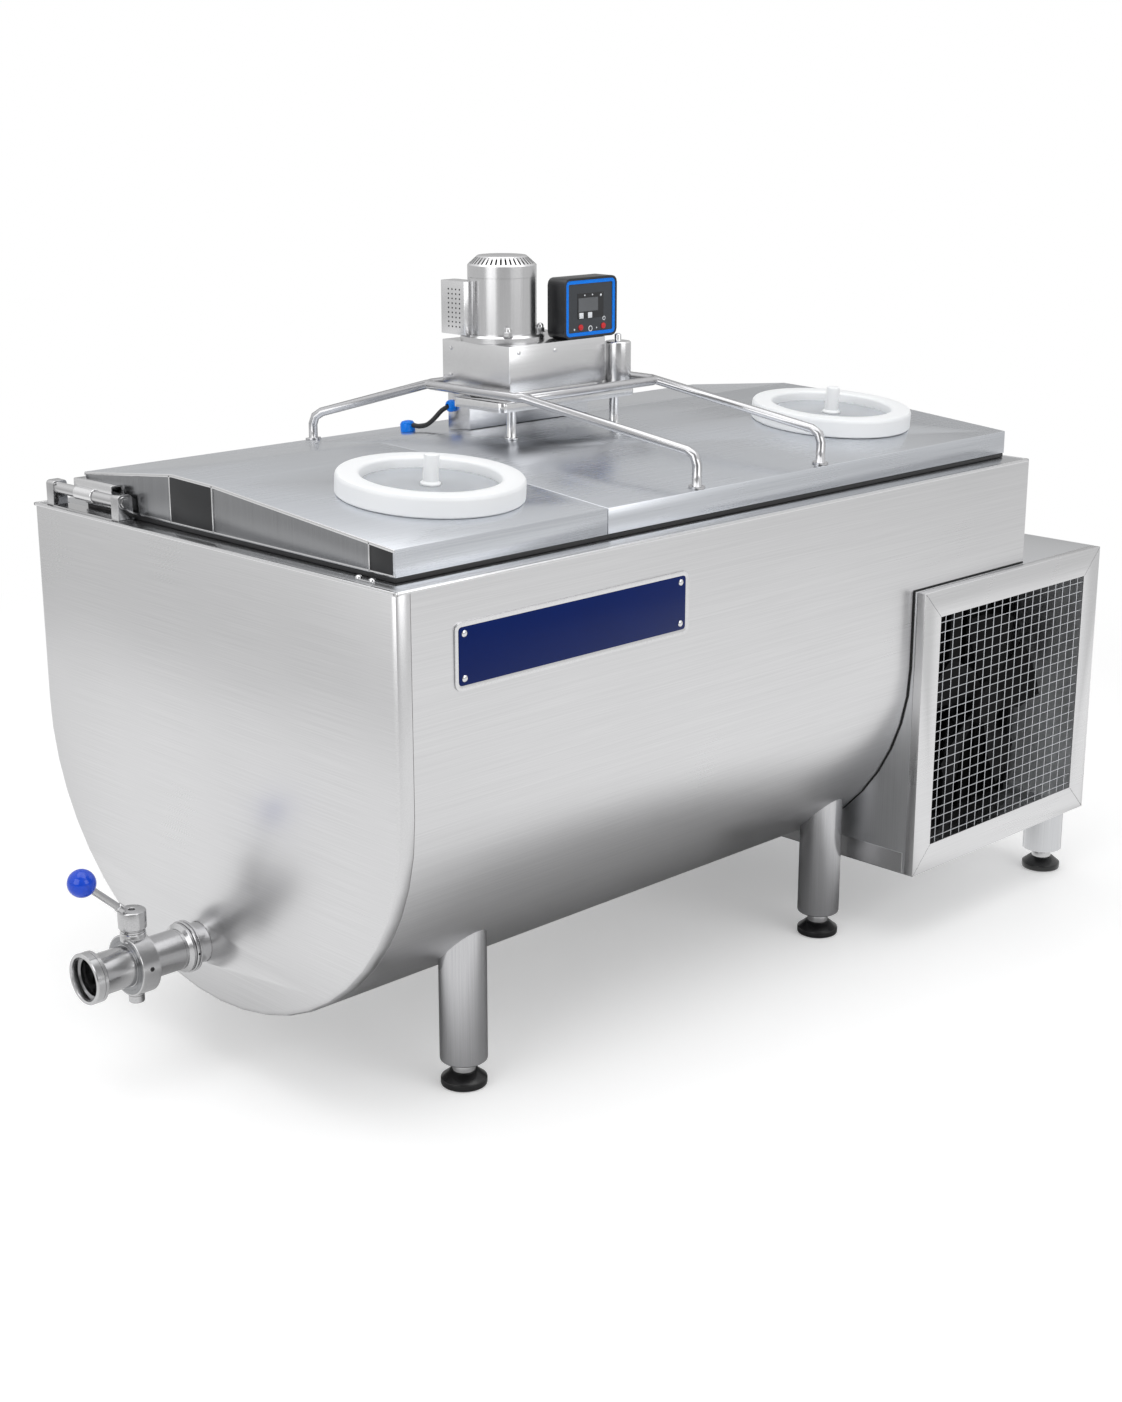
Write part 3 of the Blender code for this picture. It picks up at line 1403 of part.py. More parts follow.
def make_controls():
    """Control box with its bezel, fascia and four push buttons."""
    back = CONTROL_NEAR + CONTROL_DEPTH
    body = add_piece(
        "control_box",
        plate(control_outline(0), CONTROL_NEAR, back, "Y"),
        dark_plastic("control_box"),
        smooth=True,
    )
    recess = add_cutter(
        "control_recess",
        plate(control_outline(CONTROL_RIM), CONTROL_NEAR - CUT_PAST, CONTROL_NEAR + BEZEL_DEPTH, "Y"),
    )
    cut(body, recess)
    seat = CONTROL_NEAR + BEZEL_DEPTH - GAP
    outer = control_outline(CONTROL_RIM + GAP)
    inner = control_outline(CONTROL_RIM + GAP + BEZEL_WIDTH)
    add_piece(
        "control_bezel",
        frame_plate(outer, inner, CONTROL_NEAR + BEZEL_SET_BACK, seat, "Y"),
        blue_plastic("bezel"),
    )
    fascia = add_piece(
        "control_fascia",
        plate(
            control_outline(CONTROL_RIM + BEZEL_WIDTH + 2 * GAP),
            CONTROL_NEAR + FASCIA_SET_BACK,
            seat,
            "Y",
        ),
        dark_plastic("fascia"),
    )
    face = CONTROL_NEAR + FASCIA_SET_BACK
    pockets = []
    for name, (u, v, half) in BUTTONS.items():
        x = CONTROL_FRONT + u
        z = CONTROL_BASE + v
        start = face - BUTTON_STAND
        colour = red_plastic(name) if name in ("button_start", "button_stop") else white_plastic(name)
        if name in ("button_start", "button_stop"):
            cap = cylinder(half, 0, BUTTON_LENGTH, POST_SIDES, along_y(x, start, z))
            pocket = cylinder(half + GAP, -CUT_PAST, BUTTON_POCKET, POST_SIDES, along_y(x, face, z))
        else:
            cap = box((x - half, start, z - half), (x + half, start + BUTTON_LENGTH, z + half))
            side = half + GAP
            pocket = box((x - side, face - CUT_PAST, z - side), (x + side, face + BUTTON_POCKET, z + side))
        pockets.append(pocket)
        add_piece(name, cap, colour, (x, start, z))
    wells = add_cutter("button_wells", merged(*pockets))
    cut(body, wells)
    cut(fascia, wells)


def make_agitator():
    """Shaft held at its collar in the gear box, with two pitched paddles."""
    place = Matrix.Translation((SHAFT_X, SHAFT_Y, 0))
    seat = DRIVE_BASE + DRIVE_WALL + GAP
    top = seat + SHAFT_COLLAR
    hub = AGITATOR_BOTTOM + PADDLE_HEIGHT
    profile = [
        (0, AGITATOR_BOTTOM),
        (PADDLE_HUB_RADIUS, AGITATOR_BOTTOM),
        (PADDLE_HUB_RADIUS, hub),
        (SHAFT_RADIUS, hub + PADDLE_HUB_CONE),
        (SHAFT_RADIUS, seat),
        (SHAFT_COLLAR_RADIUS, seat),
        (SHAFT_COLLAR_RADIUS, top),
        (SHAFT_RADIUS, top),
        (SHAFT_RADIUS, top + SHAFT_TOP_LENGTH),
        (0, top + SHAFT_TOP_LENGTH),
    ]
    shaft = add_piece(
        "agitator",
        turned(profile, POST_SIDES, place),
        polished_steel("agitator"),
        (SHAFT_X, SHAFT_Y, 0),
        smooth=True,
    )
    half = PADDLE_HEIGHT / 2
    for number, turn in enumerate((0, math.pi)):
        start = PADDLE_HUB_RADIUS / 2
        blade_half = half * PADDLE_SHARE
        outline = rounded_rectangle(start, PADDLE_RADIUS, -blade_half, blade_half, PADDLE_CORNER)
        bm = plate(outline, -PADDLE_THICKNESS / 2, PADDLE_THICKNESS / 2, "Y")
        spot = place @ Matrix.Translation((0, 0, AGITATOR_BOTTOM + half))
        swing = Matrix.Rotation(turn + PADDLE_TURN, 4, "Z")
        pitch = Matrix.Rotation(PADDLE_PITCH, 4, "X")
        bmesh.ops.transform(bm, matrix=spot @ swing @ pitch, verts=bm.verts)
        join(shaft, add_cutter(f"paddle_{number}", bm))


def make_probe_lead():
    """The lead from the gear box foot to the gland on the lid."""
    curve = bpy.data.curves.new("probe_lead", "CURVE")
    curve.dimensions = "3D"
    spline = curve.splines.new("POLY")
    path = smooth_path(LEAD_ROUTE, LEAD_STEPS)
    spline.points.add(len(path) - 1)
    for point, place in zip(spline.points, path):
        point.co = (*place, 1)
    curve.bevel_depth = LEAD_RADIUS
    curve.bevel_resolution = 2
    curve.use_fill_caps = True
    curve.materials.append(black_rubber("lead"))
    lead = bpy.data.objects.new("probe_lead", curve)
    lead.parent = ROOT
    bpy.context.scene.collection.objects.link(lead)
    profile = [
        (0, GAP),
        (GLAND_RADIUS, GAP),
        (GLAND_RADIUS, GLAND_SHOULDER),
        (GLAND_CROWN_RADIUS, GLAND_CROWN),
        (GLAND_TIP_RADIUS, GLAND_HEIGHT),
        (0, GLAND_HEIGHT),
    ]
    add_piece(
        "probe_gland",
        turned(profile, POST_SIDES, on_lid(GLAND_X, GLAND_Y)),
        blue_plastic("gland"),
        smooth=True,
    )


def make_outlet():
    """Outlet neck, valve body and end union along the drain axis, each turned from a profile."""
    place = along_x(0, OUTLET_Y, OUTLET_Z)
    inner_end = -(INSULATION + VESSEL_WALL)
    clamp_end = CLAMP_NEAR_HEAD + CLAMP_LENGTH
    groove = CLAMP_NEAR_HEAD + CLAMP_LENGTH / 2
    neck = [
        (PIPE_BORE, inner_end),
        (PIPE_RADIUS, inner_end),
        (PIPE_RADIUS, CLAMP_NEAR_HEAD),
        (CLAMP_RADIUS, CLAMP_NEAR_HEAD + CLAMP_EDGE),
        (CLAMP_RADIUS, groove - CLAMP_EDGE),
        (CLAMP_RADIUS - CLAMP_GROOVE, groove),
        (CLAMP_RADIUS, groove + CLAMP_EDGE),
        (CLAMP_RADIUS, clamp_end),
        (PIPE_BORE, clamp_end),
    ]
    neck_pipe = turned(neck, PIPE_SIDES, place, closed=True)
    add_piece("outlet_neck", neck_pipe, polished_steel("neck"), smooth=True)

    start = clamp_end + GAP
    low = VALVE_AXIS - VALVE_DISC_LENGTH / 2
    high = VALVE_AXIS + VALVE_DISC_LENGTH / 2
    end = UNION_START - GAP
    body_profile = [
        (PIPE_BORE, start),
        (FERRULE_RADIUS, start),
        (FERRULE_RADIUS, start + FERRULE),
        (PIPE_RADIUS, start + FERRULE + FERRULE_CONE),
        (PIPE_RADIUS, low),
        (VALVE_DISC_RADIUS - VALVE_DISC_EDGE, low),
        (VALVE_DISC_RADIUS, low + VALVE_DISC_EDGE),
        (VALVE_DISC_RADIUS, high - VALVE_DISC_EDGE),
        (VALVE_DISC_RADIUS - VALVE_DISC_EDGE, high),
        (PIPE_RADIUS, high),
        (PIPE_RADIUS, end),
        (PIPE_BORE, end),
    ]
    turned_body = turned(body_profile, PIPE_SIDES, place, closed=True)
    body = add_piece("valve_body", turned_body, polished_steel("valve"), smooth=True)
    upright = Matrix.Translation((-VALVE_AXIS, OUTLET_Y, OUTLET_Z))
    wall = (PIPE_BORE + VALVE_DISC_RADIUS) / 2
    collar = add_cutter(
        "valve_collar", cylinder(VALVE_COLLAR_RADIUS, wall, VALVE_COLLAR_TOP, POST_SIDES, upright)
    )
    boss = add_cutter(
        "valve_boss", cylinder(VALVE_BOSS_RADIUS, -VALVE_BOSS_BOTTOM, -wall, PIN_SIDES, upright)
    )
    stem_hole = add_cutter(
        "stem_hole",
        cylinder(STEM_RADIUS + GAP, -VALVE_DISC_RADIUS, 2 * VALVE_COLLAR_TOP, PIN_SIDES, upright),
    )
    join(body, collar, boss)
    cut(body, stem_hole)

    mouth = UNION_START + UNION_LENGTH
    union = [
        (PIPE_BORE, UNION_START),
        (UNION_RADIUS - UNION_EDGE, UNION_START),
        (UNION_RADIUS, UNION_START + UNION_EDGE),
        (UNION_RADIUS, mouth - UNION_EDGE),
        (UNION_RADIUS - UNION_EDGE, mouth),
        (UNION_COUNTERBORE, mouth),
        (UNION_COUNTERBORE, mouth - UNION_STEP),
        (PIPE_BORE, mouth - UNION_STEP),
    ]
    union_pipe = turned(union, PIPE_SIDES, place, closed=True)
    add_piece("union_ring", union_pipe, polished_steel("union"), smooth=True)


def make_valve_handle():
    """Butterfly disc on its stem, the cap with its lever, and the ball on the lever's end."""
    axis = (-VALVE_AXIS, OUTLET_Y, OUTLET_Z)
    upright = Matrix.Translation(axis)
    cap_low = VALVE_COLLAR_TOP + GAP
    stem_top = cap_low + STEM_IN_CAP
    half = BUTTERFLY_THICKNESS / 2
    disc = add_piece(
        "valve_disc",
        cylinder(BUTTERFLY_RADIUS, -half, half, PIPE_SIDES, along_y(*axis)),
        polished_steel("disc"),
        axis,
        smooth=True,
    )
    stem_low = GAP - VALVE_DISC_RADIUS
    join(disc, add_cutter("valve_stem", cylinder(STEM_RADIUS, stem_low, stem_top, PIN_SIDES, upright)))

    cap_top = cap_low + CAP_HEIGHT
    bore = STEM_RADIUS + GAP
    profile = [
        (bore, cap_low),
        (CAP_RADIUS - CAP_EDGE, cap_low),
        (CAP_RADIUS, cap_low + CAP_EDGE),
        (CAP_RADIUS, cap_top - CAP_EDGE),
        (CAP_RADIUS - CAP_EDGE, cap_top),
        (CAP_SOCKET_RADIUS, cap_top),
        (CAP_SOCKET_RADIUS, cap_top - CAP_SOCKET),
        (0, cap_top - CAP_SOCKET),
        (0, stem_top + GAP),
        (bore, stem_top + GAP),
    ]
    shell = turned(profile, POST_SIDES, upright, closed=True)
    cap = add_piece("valve_lever", shell, polished_steel("lever"), axis, smooth=True)
    ball_centre = Vector((-VALVE_AXIS - LEVER_REACH, OUTLET_Y, OUTLET_Z + LEVER_RISE))
    root = Vector((-VALVE_AXIS, OUTLET_Y, OUTLET_Z + LEVER_ROOT_RISE))
    reach = ball_centre - root
    along = reach.normalized()
    turn = along.to_track_quat("Z", "Y").to_matrix().to_4x4()
    root_place = Matrix.Translation(root) @ turn
    rod_start = (CAP_SOCKET_RADIUS + CAP_RADIUS) / 2 / math.hypot(along.x, along.y)
    rod_end = reach.length - BALL_RADIUS + BALL_SOCKET - GAP
    join(cap, add_cutter("lever_rod", cylinder(LEVER_ROD_RADIUS, rod_start, rod_end, ROD_SIDES, root_place)))

    hole = LEVER_ROD_RADIUS + GAP
    mouth = -math.sqrt(BALL_RADIUS**2 - hole**2)
    profile = [(0, -BALL_RADIUS + BALL_SOCKET), (hole, -BALL_RADIUS + BALL_SOCKET), (hole, mouth)]
    first = math.asin(hole / BALL_RADIUS)
    for step in range(1, BALL_RINGS + 1):
        angle = first + (math.pi - first) * step / BALL_RINGS
        radius = BALL_RADIUS * math.sin(angle) if step < BALL_RINGS else 0
        profile.append((radius, -BALL_RADIUS * math.cos(angle)))
    ball_place = Matrix.Translation(ball_centre) @ turn
    add_piece("lever_knob", turned(profile, BALL_SIDES, ball_place), blue_plastic("knob"), axis, smooth=True)


def make_nameplate():
    """Bare plate with a raised border on the near side."""
    back = -HALF_WIDTH - GAP
    front = back - PLATE_THICKNESS
    outline = rounded_rectangle(
        PLATE_FRONT, PLATE_FRONT + PLATE_LENGTH, PLATE_BOTTOM, PLATE_BOTTOM + PLATE_HEIGHT, PLATE_CORNER
    )
    bm = plate(outline, back, front, "Y")
    face = min(bm.faces, key=lambda item: item.calc_center_median().y)
    bmesh.ops.inset_region(bm, faces=[face], thickness=PLATE_BORDER, depth=0)
    bmesh.ops.translate(bm, vec=(0, PLATE_BORDER_RISE, 0), verts=face.verts)
    add_piece("nameplate", bm, finish("plate_blue", (0, 38, 107), 0.2, 0.3))


def make_legs():
    """Four tank legs, cut to the jacket's curve, and the six levelling feet."""
    envelope = add_cutter(
        "jacket_envelope", body_from(tank_points(HEAD_DEPTH, -GAP), tank_faces(True, True))
    )
    profile = [
        (FOOT_STEM_RADIUS + GAP, LEG_BOTTOM),
        (LEG_RADIUS, LEG_BOTTOM),
        (LEG_RADIUS, LEG_BLANK_TOP),
        (LEG_RADIUS - LEG_WALL, LEG_BLANK_TOP),
        (LEG_RADIUS - LEG_WALL, LEG_BOTTOM + LEG_END_PLATE),
        (FOOT_STEM_RADIUS + GAP, LEG_BOTTOM + LEG_END_PLATE),
    ]
    places = {}
    for end, x in (("front", LEG_FRONT_X), ("mid", LEG_MID_X)):
        for side, y in (("near", -LEG_SPREAD), ("far", LEG_SPREAD)):
            bm = turned(profile, POST_SIDES, Matrix.Translation((x, y, 0)), closed=True)
            name = f"leg_{end}_{side}"
            leg = add_piece(name, bm, brushed_steel(name), (x, y, 0), smooth=True)
            cut(leg, envelope)
            places[f"foot_{end}_{side}"] = (x, y)
    places["foot_unit_near"] = (UNIT_LEG_X, -UNIT_LEG_SPREAD)
    places["foot_unit_far"] = (UNIT_LEG_X, UNIT_LEG_SPREAD)
    neck_top = LEG_BOTTOM - GAP
    foot = [
        (0, 0),
        (FOOT_RADIUS - FOOT_CHAMFER, 0),
        (FOOT_RADIUS, FOOT_CHAMFER),
        (FOOT_RADIUS, FOOT_EDGE),
        (FOOT_SHOULDER_RADIUS, FOOT_SHOULDER),
        (FOOT_NECK_RADIUS, FOOT_NECK_START),
        (FOOT_NECK_RADIUS, neck_top),
        (FOOT_STEM_RADIUS, neck_top),
        (FOOT_STEM_RADIUS, FOOT_STEM_TOP),
        (0, FOOT_STEM_TOP),
    ]
    for name, (x, y) in places.items():
        bm = turned(foot, FOOT_SIDES, Matrix.Translation((x, y, 0)))
        add_piece(name, bm, black_rubber(name), (x, y, 0), smooth=True)


def make_unit_case():
    """Sheet case, open behind the grille, louvred at the far side, with its two leg stubs."""
    near = -UNIT_WIDTH / 2 + GRILLE_DEPTH + GAP
    far = UNIT_WIDTH / 2

    def corners(inset):
        low_x, high_x = UNIT_FRONT + inset, UNIT_REAR - inset
        low_z, high_z = UNIT_BOTTOM + inset, UNIT_TOP - inset
        ring = [(low_x, low_z), (high_x, low_z), (high_x, high_z), (low_x, high_z)]
        return [(x, near, z) for x, z in ring] + [(x, far - inset, z) for x, z in ring]

    faces = [(0, 1, 5, 4), (1, 2, 6, 5), (2, 3, 7, 6), (3, 0, 4, 7), (4, 5, 6, 7)]
    sheet = sheet_from(corners(0), corners(UNIT_WALL), faces)
    case = add_piece("unit_case", sheet, brushed_steel("unit_case"))
    slots = []
    for number in range(LOUVRES):
        z = LOUVRE_START + number * LOUVRE_PITCH
        slots.append(
            box(
                (UNIT_FRONT + LOUVRE_MARGIN, far - 5 * UNIT_WALL, z),
                (UNIT_REAR - LOUVRE_MARGIN, far + UNIT_WALL, z + LOUVRE_HEIGHT),
            )
        )
    stub = [
        (FOOT_STEM_RADIUS + GAP, LEG_BOTTOM),
        (LEG_RADIUS, LEG_BOTTOM),
        (LEG_RADIUS, UNIT_BOTTOM + UNIT_WALL / 2),
        (LEG_RADIUS - LEG_WALL, UNIT_BOTTOM + UNIT_WALL / 2),
        (LEG_RADIUS - LEG_WALL, LEG_BOTTOM + LEG_END_PLATE),
        (FOOT_STEM_RADIUS + GAP, LEG_BOTTOM + LEG_END_PLATE),
    ]
    stubs = [
        turned(stub, POST_SIDES, Matrix.Translation((UNIT_LEG_X, side * UNIT_LEG_SPREAD, 0)), closed=True)
        for side in (-1, 1)
    ]
    join(case, add_cutter("unit_leg_stubs", merged(*stubs)))
    well = [
        cylinder(
            FOOT_STEM_RADIUS + GAP,
            UNIT_BOTTOM - UNIT_WALL,
            UNIT_FLOOR + UNIT_WALL,
            POST_SIDES,
            Matrix.Translation((UNIT_LEG_X, side * UNIT_LEG_SPREAD, 0)),
        )
        for side in (-1, 1)
    ]
    cut(case, add_cutter("unit_louvres", merged(*slots)), add_cutter("unit_stub_vents", merged(*well)))


def make_grille():
    """Mitred sheet frame and the wire mesh held behind its face."""
    front = -UNIT_WIDTH / 2
    profile = [
        (0, 0),
        (GRILLE_BORDER, 0),
        (GRILLE_BORDER, STEEL_SHEET),
        (STEEL_SHEET, STEEL_SHEET),
        (STEEL_SHEET, GRILLE_DEPTH),
        (0, GRILLE_DEPTH),
    ]
    loops = []
    for inset, depth in profile:
        low_x, high_x = UNIT_FRONT + inset, UNIT_REAR - inset
        outline = rounded_rectangle(low_x, high_x, UNIT_BOTTOM + inset, UNIT_TOP - inset, 0)
        loops.append([(x, front + depth, z) for x, z in outline])
    add_piece("grille_frame", loops_body(loops, True), brushed_steel("grille_frame"))

    left = UNIT_FRONT + GRILLE_BORDER - MESH_HOLD
    right = UNIT_REAR - GRILLE_BORDER + MESH_HOLD
    low = UNIT_BOTTOM + GRILLE_BORDER - MESH_HOLD
    high = UNIT_TOP - GRILLE_BORDER + MESH_HOLD
    xs = bar_edges(left, right, MESH_COLUMNS)
    zs = bar_edges(low, high, MESH_ROWS)
    outer = front + STEEL_SHEET + GAP
    bm = bmesh.new()
    grid = {}
    for column, x in enumerate(xs):
        for row, z in enumerate(zs):
            grid[column, row] = bm.verts.new((x, outer, z))
    faces = []
    for column in range(len(xs) - 1):
        for row in range(len(zs) - 1):
            if column % 2 and row % 2:
                continue
            corners = [(column, row), (column + 1, row), (column + 1, row + 1), (column, row + 1)]
            faces.append(bm.faces.new([grid[corner] for corner in corners]))
    grown = bmesh.ops.extrude_face_region(bm, geom=faces)
    moved = [item for item in grown["geom"] if isinstance(item, bmesh.types.BMVert)]
    bmesh.ops.translate(bm, vec=(0, MESH_WIRE, 0), verts=moved)
    add_piece("grille_mesh", bm, finish("mesh_wire", (150, 153, 157), 1.0, 0.35))


def bar_edges(low, high, cells):
    """Both edges of each bar of a lattice, evenly spread."""
    pitch = (high - low - MESH_BAR) / cells
    edges = []
    for number in range(cells + 1):
        edges.append(low + number * pitch)
        edges.append(low + number * pitch + MESH_BAR)
    return edges


def make_fan():
    """Axial fan, its motor on a strap, and the shaft between them."""
    axis = (FAN_X, FAN_Y, FAN_Z)
    half = FAN_HUB_DEPTH / 2
    bore = FAN_SHAFT_RADIUS + GAP
    floor = half - FAN_SHAFT_GRIP
    edge = 0.008
    profile = [
        (0, -half),
        (FAN_HUB_RADIUS - edge, -half),
        (FAN_HUB_RADIUS, -half + edge),
        (FAN_HUB_RADIUS, half),
        (bore, half),
        (bore, floor),
        (0, floor),
    ]
    rotor = add_piece(
        "fan_rotor",
        turned(profile, POST_SIDES, along_y(*axis)),
        dark_plastic("fan_rotor"),
        axis,
        smooth=True,
    )
    blades = []
    steps = FAN_BLADE_STEPS
    root = FAN_HUB_RADIUS * FAN_BLADE_ROOT_SHARE
    for number in range(FAN_BLADES):
        turn = math.tau * number / FAN_BLADES
        loops = []
        for station in range(steps + 1):
            share = station / steps
            radius = root + (FAN_RADIUS - root) * share
            spread = FAN_BLADE_ROOT + (FAN_BLADE_TIP - FAN_BLADE_ROOT) * share
            sweep = turn + FAN_BLADE_SWEEP * share
            front, back = [], []
            for edge_step in range(4):
                side = edge_step * 2 / 3 - 1
                angle = sweep + spread * side
                rise = radius * spread * side * math.tan(FAN_BLADE_PITCH) * (1 - FAN_BLADE_TWIST * share)
                x = FAN_X + radius * math.cos(angle)
                z = FAN_Z + radius * math.sin(angle)
                front.append((x, FAN_Y + rise - FAN_BLADE_THICKNESS / 2, z))
                back.append((x, FAN_Y + rise + FAN_BLADE_THICKNESS / 2, z))
            loops.append(front + back[::-1])
        blades.append(loops_body(loops, False))
    join(rotor, add_cutter("fan_blades", merged(*blades)))

    back = FAN_MOTOR_LENGTH
    shaft_front = FAN_Y + floor + GAP - FAN_MOTOR_FRONT
    profile = [
        (0, shaft_front),
        (FAN_SHAFT_RADIUS, shaft_front),
        (FAN_SHAFT_RADIUS, 0),
        (FAN_MOTOR_RADIUS - 0.006, 0),
        (FAN_MOTOR_RADIUS, 0.006),
        (FAN_MOTOR_RADIUS, back),
        (0, back),
    ]
    motor = add_piece(
        "fan_motor",
        turned(profile, POST_SIDES, along_y(FAN_X, FAN_MOTOR_FRONT, FAN_Z)),
        finish("motor_black", (30, 32, 34), 0.3, 0.5),
        smooth=True,
    )
    strap_front = FAN_MOTOR_FRONT + back / 2
    strap = box(
        (FAN_X - FAN_STRAP_WIDTH / 2, strap_front, UNIT_FLOOR + GAP),
        (FAN_X + FAN_STRAP_WIDTH / 2, strap_front + FAN_STRAP_THICKNESS, UNIT_TOP - UNIT_WALL - GAP),
    )
    join(motor, add_cutter("fan_strap", strap))


def make_coil():
    """Finned block between two end plates, standing on the case floor."""
    front = COIL_FRONT_Y
    back = COIL_FRONT_Y + COIL_DEPTH
    core_front = front + COIL_FIN_DEPTH
    core_back = back - COIL_FIN_DEPTH
    start = COIL_START
    end = COIL_START + COIL_LENGTH
    first = start + COIL_END_PLATE
    pitch = (end - COIL_END_PLATE - first) / (COIL_FINS + 1)
    near_side = [(start, front), (first, front), (first, core_front)]
    far_side = [(start, back), (first, back), (first, core_back)]
    for number in range(COIL_FINS):
        x = first + pitch * (number + 1)
        half = COIL_FIN_THICKNESS / 2
        near_side += [(x - half, core_front), (x - half, front), (x + half, front), (x + half, core_front)]
        far_side += [(x - half, core_back), (x - half, back), (x + half, back), (x + half, core_back)]
    last = end - COIL_END_PLATE
    near_side += [(last, core_front), (last, front), (end, front)]
    far_side += [(last, core_back), (last, back), (end, back)]
    outline = near_side + far_side[::-1]
    low = UNIT_FLOOR + GAP
    look = finish("coil_fins", (120, 124, 128), 1.0, 0.4)
    add_piece("coil_block", plate(outline, low, low + COIL_HEIGHT, "Z"), look)


def make_compressor():
    """Domed compressor on its foot plate, with the discharge line that runs to the coil."""
    low = UNIT_FLOOR + GAP
    high = low + COMPRESSOR_HEIGHT
    profile = [
        (0, low),
        (COMPRESSOR_PLATE, low),
        (COMPRESSOR_PLATE, low + COMPRESSOR_PLATE_THICKNESS),
        (COMPRESSOR_FOOT_RADIUS, low + COMPRESSOR_PLATE_THICKNESS),
        (COMPRESSOR_FOOT_RADIUS, low + COMPRESSOR_FOOT),
        (COMPRESSOR_RADIUS, low + COMPRESSOR_SIDE_START),
        (COMPRESSOR_RADIUS, high - COMPRESSOR_DOME),
        (COMPRESSOR_DOME_RADIUS, high - COMPRESSOR_CROWN),
        (COMPRESSOR_CROWN_RADIUS, high),
        (0, high),
    ]
    place = Matrix.Translation((COMPRESSOR_X, COMPRESSOR_Y, 0))
    look = finish("compressor_black", (26, 27, 29), 0.2, 0.45)
    piece = add_piece("compressor", turned(profile, POST_SIDES, place), look, smooth=True)
    rise = low + LINE_RISE
    end_x = COIL_START + COIL_END_PLATE / 2
    corners = [
        (COMPRESSOR_X, COMPRESSOR_Y, high - COMPRESSOR_CROWN),
        (COMPRESSOR_X, COMPRESSOR_Y, rise),
        (end_x, COMPRESSOR_Y, rise),
        (end_x, COIL_FRONT_Y + COIL_DEPTH + GAP, rise),
    ]
    line = tube(rounded_path(corners, LINE_BEND, LINE_BEND_STEPS), LINE_RADIUS, TUBE_SIDES)
    join(piece, add_cutter("discharge_line", line))


def main():
    global ROOT
    clear_scene()
    ROOT = make_root()
    pipe_hole = add_cutter(
        "pipe_hole",
        cylinder(PIPE_RADIUS + GAP, -2 * INSULATION, INSULATION, PIPE_SIDES, along_x(0, OUTLET_Y, OUTLET_Z)),
    )
    shaft_hole = add_cutter(
        "shaft_hole",
        cylinder(
            SHAFT_RADIUS + GAP,
            LID_BASE,
            DRIVE_BASE + DRIVE_WALL * 2,
            POST_SIDES,
            Matrix.Translation((SHAFT_X, SHAFT_Y, 0)),
        ),
    )
    make_outer_jacket()
    make_front_head(pipe_hole)
    make_milk_vessel(pipe_hole)
    pocket = make_evaporator()
    make_foam(pipe_hole, pocket)
    make_rim_deck()
    make_lid_gasket()
    make_cover(
        "front_cover", LID_FRONT, FRONT_COVER_REAR, HATCH_PLACES["front"], (HINGE_X, 0, HINGE_Z)
    )
    make_cover("fixed_cover", FIXED_COVER_FRONT, LID_REAR, HATCH_PLACES["rear"], shaft_hole=shaft_hole)
    for name, place in HATCH_PLACES.items():
        make_hatch(name, place)
    make_hinge()
    make_guard_rail()
    make_pedestal(shaft_hole)
    make_drive_tray()
    make_drive_box(shaft_hole)
    make_motor()
    make_canister()
    make_controls()
    make_agitator()
    make_probe_lead()
    make_outlet()
    make_valve_handle()
    make_nameplate()
    make_legs()
    make_unit_case()
    make_grille()
    make_fan()
    make_coil()
    make_compressor()
    bpy.context.view_layer.update()


main()
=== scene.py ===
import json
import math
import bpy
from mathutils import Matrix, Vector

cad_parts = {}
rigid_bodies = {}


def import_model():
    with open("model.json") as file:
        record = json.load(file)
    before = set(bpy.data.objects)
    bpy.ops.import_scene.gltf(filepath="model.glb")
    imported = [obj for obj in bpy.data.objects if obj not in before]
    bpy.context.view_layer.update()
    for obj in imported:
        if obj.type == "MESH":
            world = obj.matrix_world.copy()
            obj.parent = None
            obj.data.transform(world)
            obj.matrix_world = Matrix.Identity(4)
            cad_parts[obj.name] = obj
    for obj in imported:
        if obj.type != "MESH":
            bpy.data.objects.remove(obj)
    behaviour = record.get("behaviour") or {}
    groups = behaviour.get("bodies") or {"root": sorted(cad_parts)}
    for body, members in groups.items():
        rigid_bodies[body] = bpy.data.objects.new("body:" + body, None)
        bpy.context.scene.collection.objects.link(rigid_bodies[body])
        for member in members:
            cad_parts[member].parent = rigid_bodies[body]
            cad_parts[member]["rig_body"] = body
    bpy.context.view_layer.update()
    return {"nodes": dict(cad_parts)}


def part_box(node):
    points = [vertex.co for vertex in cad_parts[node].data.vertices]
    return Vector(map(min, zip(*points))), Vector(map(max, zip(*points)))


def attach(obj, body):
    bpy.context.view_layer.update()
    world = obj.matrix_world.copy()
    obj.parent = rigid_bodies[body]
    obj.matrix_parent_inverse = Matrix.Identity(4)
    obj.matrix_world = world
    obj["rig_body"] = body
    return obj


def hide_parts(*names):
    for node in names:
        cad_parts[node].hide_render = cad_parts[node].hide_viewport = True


bl_info = {
    "name": "Milk cooler finish",
    "version": (1, 0, 0),
    "blender": (4, 5, 0),
    "location": "View3D > Sidebar > Milk cooler",
    "description": "Finishes a farm milk cooler: brushed tank, lid, agitator drive, outlet and condensing unit",
    "category": "Object",
}

import bpy
from bpy.props import FloatProperty, IntProperty, PointerProperty, StringProperty
from mathutils import Matrix, Vector

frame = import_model()

# The tank's own frame starts at the front head, and the object's origin is under its middle.
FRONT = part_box("rim_deck")[0].x
SMOOTH_ANGLE = math.radians(34)
FLAT_ANGLE = math.radians(0.4)
HEXAGON_ANGLE = math.radians(20)
MERGE = 0.00002
FINE_MERGE = MERGE / 10
ROUND_SIDES = 72
LARGE_SIDES = 96


# Small helpers


def at(x, y, z):
    """A point given along the tank from its front head."""
    return Vector((FRONT + x, y, z))


